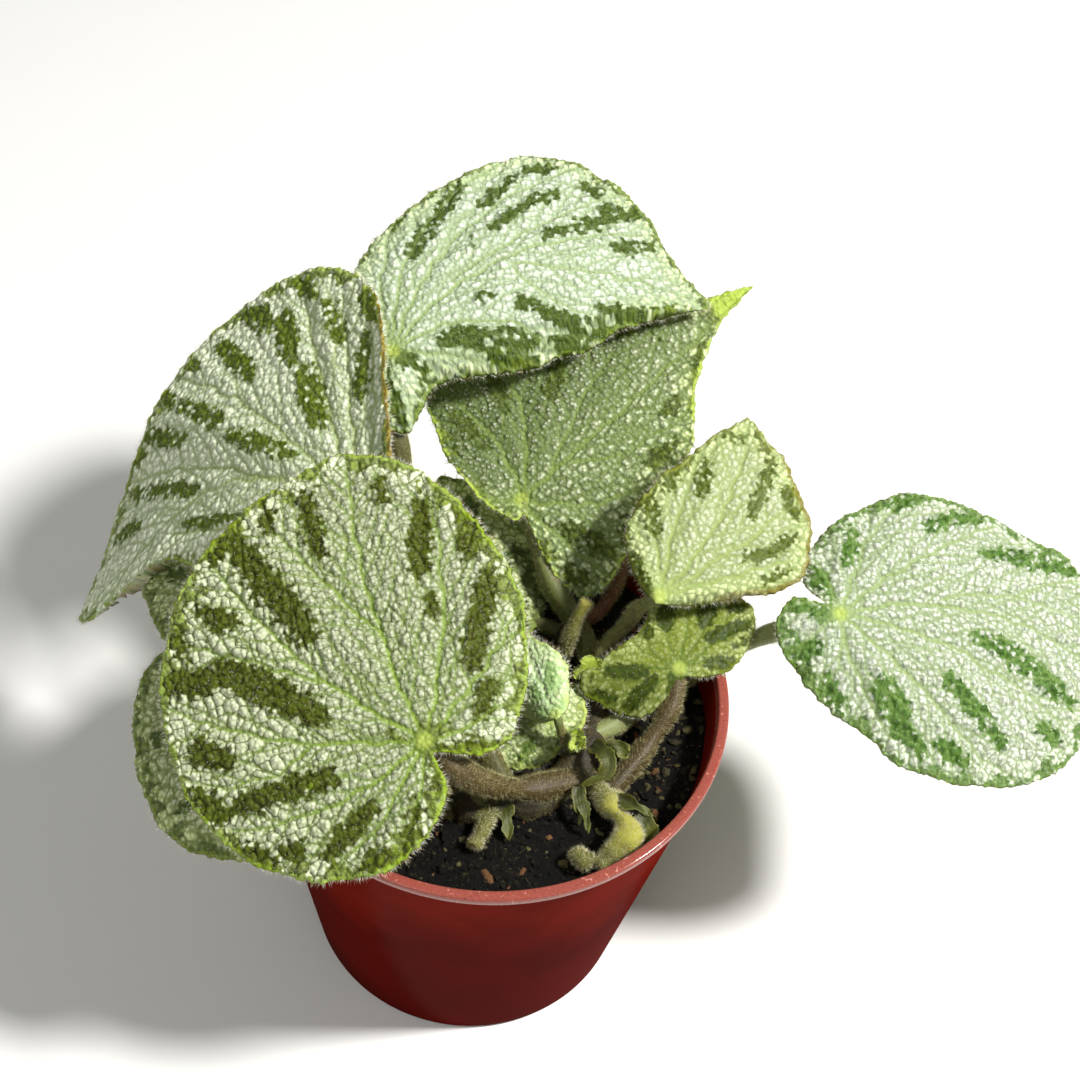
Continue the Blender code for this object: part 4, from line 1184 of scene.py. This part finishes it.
class Value:
    """A shader socket on which sums, differences and products add their Math nodes."""

    def __init__(self, finish, socket):
        self.finish, self.socket = finish, socket

    def maths(self, operation, *sockets):
        return self.finish.node("ShaderNodeMath", {"operation": operation}, dict(enumerate(sockets)))

    def __add__(self, other):
        return self.maths("ADD", self, other)

    def __sub__(self, other):
        return self.maths("SUBTRACT", self, other)

    def __rsub__(self, other):
        return self.maths("SUBTRACT", other, self)

    def __mul__(self, other):
        return self.maths("MULTIPLY", self, other)

    __radd__ = __add__
    __rmul__ = __mul__

    def step(self, low, high):
        """0 at low, 1 at high, and smooth between them."""
        smooth = {"interpolation_type": "SMOOTHSTEP"}
        return self.finish.node("ShaderNodeMapRange", smooth, {0: self, 1: low, 2: high})

    def between(self, first, second):
        """The first colour where this is 0 and the second where it is 1."""
        return self.finish.node("ShaderNodeMix", {"data_type": "RGBA"}, {0: self, 6: first, 7: second}, out=2)


class Finish:
    """A material in the making, with one shader."""

    def __init__(self, name, constants=None):
        self.made = bpy.data.materials.new(name)
        self.made.use_nodes = True
        self.tree = self.made.node_tree
        self.shader = self.tree.nodes["Principled BSDF"]
        for key, value in (constants or {}).items():
            self.shader.inputs[key].default_value = value

    def node(self, kind, settings=None, sockets=None, out=0):
        made = self.tree.nodes.new(kind)
        for key, value in (settings or {}).items():
            setattr(made, key, value)
        for key, value in (sockets or {}).items():
            self.join(made.inputs[key], value)
        return Value(self, made.outputs[out])

    def join(self, socket, value):
        """Links a value to a socket, or sets it: a colour is a code or three parts."""
        if isinstance(value, Value):
            self.tree.links.new(value.socket, socket)
        elif socket.type == "RGBA":
            socket.default_value = (*(colour(value) if isinstance(value, str) else value), 1.0)
        else:
            socket.default_value = value

    def spot(self):
        return self.node("ShaderNodeTexCoord", out="Object")

    def height(self):
        return self.node("ShaderNodeSeparateXYZ", {}, {0: self.spot()}, out="Z")

    def distance(self, middle):
        """Distance from a place that is given in millimetres."""
        sockets = {0: self.spot(), 1: tuple(part * MM for part in middle)}
        return self.node("ShaderNodeVectorMath", {"operation": "DISTANCE"}, sockets, out="Value")

    def painted(self, name):
        return self.node("ShaderNodeAttribute", {"attribute_name": name}, out="Fac")

    def grain(self, size, detail=2.0, stretch=None, rough=0.55):
        """Soft noise whose blotches are about this many millimetres wide. Three factors draw it
        out."""
        where = self.spot()
        if stretch:
            where = self.node("ShaderNodeVectorMath", {"operation": "MULTIPLY"}, {0: where, 1: stretch})
        return self.node("ShaderNodeTexNoise", {}, {
            "Vector": where, "Scale": 1 / (size * MM), "Detail": detail, "Roughness": rough,
        })

    def flat_cells(self, size):
        """Distance from the middle of even cells of this many millimetres, laid flat on a blade."""
        flat = self.node("ShaderNodeCombineXYZ", {}, {0: self.painted("along"), 1: self.painted("across")})
        return self.node("ShaderNodeTexVoronoi", {"voronoi_dimensions": "2D"}, {
            "Vector": flat, "Scale": 1 / (size * MM), "Randomness": 0.85,
        })

    def bump(self, height, depth, strength=1.0):
        """Relief of this depth in millimetres."""
        sockets = {"Strength": strength, "Distance": depth * MM, "Height": height}
        return self.node("ShaderNodeBump", {}, sockets)

    def done(self, **sockets):
        for key, value in sockets.items():
            self.join(self.shader.inputs[key.replace("_", " ").title()], value)
        return self.made


def blade_finish(name, silver, green, streak, rib, rim, seam=None, blush="7c6c30", brim="c4d488",
                 spread=(-0.03, 0.2), glint=0.3, lump=1.1, relief=0.3, side=None):
    """The painted upper face: silver on the puckers and a thin green net between them, dark in the streaks
    and green to rusty at the rim. Painted highlight and shade lie on the puckers and in the dips between
    bumps, and side lays painted light or shade over one side of the blade."""
    finish = Finish(name, {"Specular IOR Level": 0.16})
    dome, vein, dark, edge, tone = map(finish.painted, ("dome", "vein", "streak", "rim", "tone"))
    fine, broad, lumps = finish.grain(0.5, 5, rough=0.7), finish.grain(14, 3), finish.flat_cells(lump)
    glints = (lumps + (fine - 0.5) * 0.6).step(0.42, 0.12)
    # dip_shade: painted shade, green laid into the dips between the small bumps
    dip_shade = (lumps + (fine - 0.5) * 0.3).step(0.34, 0.60)

    # In the streaks: puckers over dark seams, greener to the rim. The pucker tops are painted lighter as
    # painted highlight, and where no seam colour is given the seams are the streak darkened as painted shade
    raised = (dome + (fine - 0.5) * 0.4 + edge.step(0.6, 1.0) * 0.5).step(-0.05, 0.5)
    fresh = (edge + (tone - 0.5) * 0.5).step(0.2, 0.9)
    bright = fresh.between(mixed(0.15, streak, rim), rim)
    seams = colour(seam) if seam else mixed(0.3, streak, "000000")
    low = (fresh * 0.5).between(seams, mixed(0.5, rim, "000000"))
    high = (tone.step(0.2, 1.0) * 0.5 * (1 - fresh * 0.6)).between(bright, streak)
    lit_and_shaded_streak = (glints * raised * 0.06).between(raised.between(low, high), silver)

    # Elsewhere: silver with glints, over green where the net lies low, and green laid into the dips between
    # the bumps as painted shade
    dusted = (fine + tone * 0.2).step(0.40, 0.66).between(mixed(0.25, silver, green), silver)
    cloudy = (broad.step(0.35, 0.7) * 0.18).between(dusted, rib)
    brimming = (edge.step(0.05, 0.45) * 0.7).between(cloudy, brim)
    silvery = (dip_shade * 0.4).between(brimming, green)
    # Painted light and shade over one side of the blade: the tint is laid across part of its width, lighter
    # where that side is turned to the lamp and darker where it is turned away
    if side:
        near, far, share, tint = side
        silvery = (finish.painted("across").step(near * MM, far * MM) * share).between(silvery, tint)
    cover = (dome + (fine - 0.5) * 0.25).step(*spread)
    silvered = cover.between(green, (glints * glint).between(silvery, "f6f8ee"))

    veined = (vein * (0.9 - dark * 0.35)).between(dark.between(silvered, lit_and_shaded_streak), rib)
    starred = (tone.step(-0.4, -0.95) * 0.6).between(veined, "b4c45e")
    flecks = finish.grain(0.7, 3).step(0.60, 0.72)
    edged = (edge.step(0.9, 1.0) * flecks * 0.7).between(starred, "8a5238")
    blushed = (edge.step(1.1, 1.6) * (0.3 + fine * 0.6)).between(edged, blush)
    rough = 0.44 - dome * 0.10 + fine * 0.16
    height = fine * 0.35 - lumps * lumps * 1.5
    return finish.done(base_color=blushed, roughness=rough, normal=finish.bump(height, relief, 0.95))


def underside_finish():
    finish = Finish("leaf_underside", {"Roughness": 0.6})
    fine, vein, dome = finish.grain(0.8, 3), finish.painted("vein"), finish.painted("dome")
    ground = fine.step(0.3, 0.7).between("8fa265", "a5b47c")
    netted = (dome.step(0.0, 0.5) * 0.5).between("b9c590", ground)
    ribbed = (vein.step(0.2, 0.8) * 0.8).between(netted, "c3b98a")
    blushed = (finish.painted("rim").step(0.6, 1.0) * 0.5).between(ribbed, "8a5a3c")
    return finish.done(base_color=blushed, normal=finish.bump(fine, 0.12, 0.7))


def stalk_finish(name, foot, top, flush):
    finish = Finish(name, {"Roughness": 0.58})
    streaks = finish.grain(2.4, 3, (1, 1, 0.25)).step(0.45, 0.7)
    flecked = (streaks * 0.6).between(finish.painted("tone").between(foot, top), flush)
    return finish.done(base_color=flecked, normal=finish.bump(finish.grain(0.7, 4), 0.2, 0.8))


def down_finish():
    """Fine hairs: white, straw or rusty by their tone."""
    finish = Finish("leaf_down", {"Roughness": 0.45})
    tone = finish.painted("tone")
    pale = tone.step(0.2, 0.6).between("f0f2e2", "b8ac5c")
    return finish.done(base_color=tone.step(0.5, 0.9).between(pale, "98694c"))


def pot_finish():
    """Thin turned plastic: glossy, faintly ringed, scuffed on the lip and dusty near the mix. The lip is
    painted paler and mottled, partly a dusty pink and partly painted highlight.
    """
    finish = Finish("terracotta_plastic", {"Specular IOR Level": 0.0, "Coat Roughness": 0.12})
    height, broad, fine = finish.height(), finish.grain(26, 3), finish.grain(0.5, 3)
    rings = finish.grain(1.0, 2, (0.02, 0.02, 1.4))
    scratch = finish.grain(1.3, 2, (1, 1, 0.12)).step(0.62, 0.72)
    lip = height.step(UNDER_LIP * MM, (UNDER_LIP + 0.4) * MM)
    lower = broad.step(0.3, 0.7).between("480904", "520b05")
    upper = broad.step(0.3, 0.7).between("62150b", "70190d")
    body = (height + (broad - 0.5) * 0.02).step(40 * MM, 88 * MM).between(lower, upper)
    # pale_lip_and_highlight: the lip painted paler in mottled patches, partly dusty pink, partly painted
    # highlight
    pale_lip_and_highlight = (lip * (0.15 + fine * 0.9)).between(body, "a25a4e")
    dust = finish.grain(0.9, 4).step(0.62, 0.72) * height.step(84 * MM, 95.5 * MM)
    dusty = (dust * 0.55).between(pale_lip_and_highlight, "54352a")
    worn = (scratch * lip * 0.5).between(dusty, "e0a495")
    mottled = finish.grain(0.7, 4, rough=0.7).step(0.35, 0.7)
    rough = 0.26 + fine * 0.10 + lip * mottled * 0.4 + dust * 0.3
    relief = finish.bump(rings * 0.5 + fine * 0.2 + mottled * lip * 1.6, 0.05, 0.5)
    return finish.done(base_color=worn, roughness=rough, coat_weight=0.03 + lip * 0.77, normal=relief)


def mix_finish():
    """Dark and damp, with dry grit sifted between the crumbs and rusty bark."""
    finish = Finish("potting_mix", {"Roughness": 0.6, "Specular IOR Level": 0.2})
    tone, bark, fine = finish.painted("tone"), finish.painted("rim"), finish.grain(0.35, 5, rough=0.7)
    dark = (tone + (fine - 0.5) * 0.8).step(0.1, 0.8).between("020201", "1e1811")
    grit = finish.grain(0.9, 4, rough=0.75).step(0.55, 0.66) * finish.grain(7, 2).step(0.42, 0.6)
    sifted = (grit * 0.8).between(dark, fine.between("2c2818", "5e5638"))
    gritty = tone.step(0.58, 0.9).between(sifted, fine.between("3a3018", "7c7850"))
    barky = (bark * fine.step(0.3, 0.7) * 0.8).between(gritty, "8a4c32")
    relief = finish.bump(fine * 0.5 + finish.grain(1.3, 4, rough=0.7), 1.1)
    return finish.done(base_color=barky, normal=relief)


def rhizome_finish():
    """Dark and scaly, partly as painted shade, with fresh green stubs that are painted yellower at the knee
    and the upright tip as painted light.
    """
    finish = Finish("hairy_rhizome", {"Roughness": 0.7})
    tone, scar, shoot = finish.painted("tone"), finish.painted("rim"), finish.painted("streak")
    fine, broad = finish.grain(0.6, 4), finish.grain(5, 3)
    # Painted shade: the bark is painted nearly black, partly its own dark brown, partly the shade under the
    # leaves
    bark = broad.step(0.35, 0.65).between("191709", "33341a")
    browned = ((fine + (1 - tone) * 0.4).step(0.55, 0.9) * 0.7).between(bark, "3a2a18")
    # sunny: painted light, the knee and the upright tip painted yellower where the light falls on them
    sunny = finish.distance(KNEE).step(11 * MM, 5 * MM) + finish.height().step(97 * MM, 106 * MM)
    green = (broad + (fine - 0.5) * 0.5).step(0.35, 0.7).between("646622", "4a4c1a")
    fresh = (shoot * 0.9).between(browned, (sunny * (0.6 + fine * 0.4)).between(green, "acaa36"))
    healed = (scar * 0.35).between(fresh, "9c8a48")
    return finish.done(base_color=healed, normal=finish.bump(fine, 0.35, 0.9))


def bract_finish():
    finish = Finish("papery_bract", {"Roughness": 0.55})
    fine, veins = finish.grain(0.5, 4), finish.grain(0.5, 2, (1, 1, 0.3)).step(0.5, 0.7)
    # Painted shade: foot and tip colours are darkened, partly their own colour, partly the shade of the
    # leaves over the bracts
    foot, tip = veins.between("262a04", "363c08"), veins.between("4c5208", "646a1a")
    lively = (finish.painted("streak") * 0.8).between(finish.painted("tone").between(foot, tip), "a8bc3c")
    edged = (finish.painted("rim").step(0.6, 1.0) * 0.5).between(lively, "74782c")
    spotted = (fine.step(0.6, 0.8) * 0.5).between(edged, "9a6d48")
    return finish.done(base_color=spotted, normal=finish.bump(fine, 0.15, 0.7))


def floor_finish():
    finish = Finish("pale_floor", {"Roughness": 0.75})
    return finish.done(base_color=finish.grain(30, 2).between((0.80, 0.80, 0.79), (0.82, 0.82, 0.81)))


LOOKS = {
    "front_leaf": dict(
        silver="a2a88a", green="6a784a", streak="363a04", rib="86a03a", rim="8aa428", brim="dee6c0",
        # side: painted light, the left half of this leaf made paler where it turns to the lamp
        spread=(0.0, 0.30), glint=0.28, side=(6, 34, 0.4, "dce4bc"),
    ),
    "left_leaf": dict(
        silver="d6dec2", green="a0ae88", streak="526414", rib="8a9c50", rim="869c28", brim="e0e8c8",
        blush="a88238", spread=(-0.03, 0.3), glint=0.4,
    ),
    "top_leaf": dict(
        silver="ced8c6", green="94a484", streak="44561a", rib="8a9e58", rim="6c8028", spread=(-0.03, 0.35),
    ),
    "middle_leaf": dict(
        silver="aab48a", green="5e6e40", streak="3c4a14", rib="7c9044", rim="a6bc4c",
        # side: painted shade, the left half of this leaf, folded away from the lamp, made darker
        spread=(-0.03, 0.45), glint=0.35, side=(-4, 16, 0.9, "424f20"),
    ),
    "far_right_leaf": dict(
        silver="bcc2b4", green="82906e", streak="2f5018", rib="8ca060", rim="64842c", brim="ccd8b8",
        seam="547430", spread=(-0.03, 0.3), lump=1.15, glint=0.45,
    ),
    "upper_right_leaf": dict(
        silver="bac2a2", green="84925e", streak="4a5a12", rib="8ea056", rim="747c28",
        spread=(-0.03, 0.35), lump=1.2, relief=0.12, glint=0.15,
    ),
    # Painted darker green, partly its own darker colour, partly painted shade from the upper right leaf above
    # it
    "young_right_leaf": dict(
        silver="78842e", green="68742a", streak="38440c", rib="4a6018", rim="6c7a22", brim="a4ae6c",
        seam="2e3a0c", glint=0.12, relief=0.12,
    ),
    # Painted near white, partly its own pale silver, partly painted light where it lies lit between the
    # leaves
    "new_centre_leaf": dict(
        silver="e4eeda", green="acc490", streak="9cba7c", rib="b8d490", rim="b4c470", seam="86a868",
    ),
    "low_centre_leaf": dict(
        silver="c0c8a0", green="849458", streak="5c7430", rib="b4c880", rim="b4c260", seam="4c6424",
    ),
}
PLAIN_LOOK = dict(silver="b4bc8a", green="6a7a40", streak="465826", rib="7c9048", rim="75862e")
STALK_LOOKS = {
    # The front stalk is painted dark, partly its own brown, partly painted shade where it lies under the
    # front leaf
    "front_leaf": ("3c3010", "4c3e18", "34260c"),
    "top_leaf": ("4a4a22", "55552a", "423018"),
    "back_right_leaf": ("6a3c28", "6f4a30", "5a2e20"),
    "young_right_leaf": ("382c10", "4a3c18", "382a10"),
    "far_right_leaf": ("7a8450", "6c7840", "6c683a"),
    "upper_right_leaf": ("6c6a3c", "6c7440", "5c4a30"),
}
PLAIN_STALK = ("5a5c2a", "66743a", "5c4c2a")


def make_leaves(down):
    underside = underside_finish()
    for index, leaf in enumerate(LEAVES):
        blade = blade_finish(leaf.name.replace("_leaf", "_paint"), **LOOKS.get(leaf.name, PLAIN_LOOK))
        stalk = stalk_finish(leaf.name.replace("_leaf", "_stalk"), *STALK_LOOKS.get(leaf.name, PLAIN_STALK))
        make_leaf(leaf, 100 * (index + 1), [blade, underside, stalk, down])


# Stage


PLANT_MIDDLE = (0.0, 0.0, 0.11)


def make_floor():
    side = 3.0
    corners = [(-side, -side, 0), (side, -side, 0), (side, side, 0), (-side, side, 0)]
    mesh = bpy.data.meshes.new("studio_floor")
    mesh.from_pydata(corners, [], [(0, 1, 2, 3)])
    floor = place("studio_floor", mesh, [floor_finish()])


def make_light(name, spot, size, power, tint):
    """A round lamp that shines at the plant."""
    lamp = bpy.data.lights.new(name, "AREA")
    lamp.shape, lamp.size, lamp.energy, lamp.color = "DISK", size, power, tint
    light = place(name, lamp)
    light.location = spot
    light.rotation_euler = (Vector(PLANT_MIDDLE) - Vector(spot)).to_track_quat("-Z", "Y").to_euler()


def make_stage():
    make_floor()
    make_light("key_light", (0.80, -0.03, 1.15), size=0.18, power=29, tint=(1.0, 0.985, 0.95))
    make_light("fill_light", (-0.6, -0.7, 1.2), size=1.0, power=6, tint=(1.0, 1.0, 0.97))
    world = bpy.data.worlds.new("studio")
    world.use_nodes = True
    background = world.node_tree.nodes["Background"]
    background.inputs["Color"].default_value = (1.0, 1.0, 0.98, 1)
    background.inputs["Strength"].default_value = 0.22
    bpy.context.scene.world = world
    bpy.context.scene.view_settings.view_transform = "Standard"


def make_camera():
    """A camera that looks down at the plant."""
    pitch, roll = math.radians(CAMERA_PITCH), math.radians(CAMERA_ROLL)
    ahead = Vector((0, math.cos(pitch), -math.sin(pitch)))
    level = Vector((1, 0, 0))
    raised = level.cross(ahead)
    right = level * math.cos(roll) + raised * math.sin(roll)
    up = raised * math.cos(roll) - level * math.sin(roll)
    lens = bpy.data.cameras.new("camera")
    lens.sensor_width = 36.0
    lens.lens = FOCAL_PIXELS * lens.sensor_width / PHOTO_PIXELS
    lens.clip_start = 0.01
    camera = place("camera", lens)
    turn = Matrix((right, up, -ahead)).transposed().to_4x4()
    camera.matrix_world = Matrix.Translation(Vector(CAMERA_PLACE) * MM) @ turn
    bpy.context.scene.camera = camera


make_camera()
make_stage()
make_pot(pot_finish())
make_mix(mix_finish())
down = down_finish()
make_rhizome([rhizome_finish(), down])
make_bracts([bract_finish(), down])
make_leaves(down)
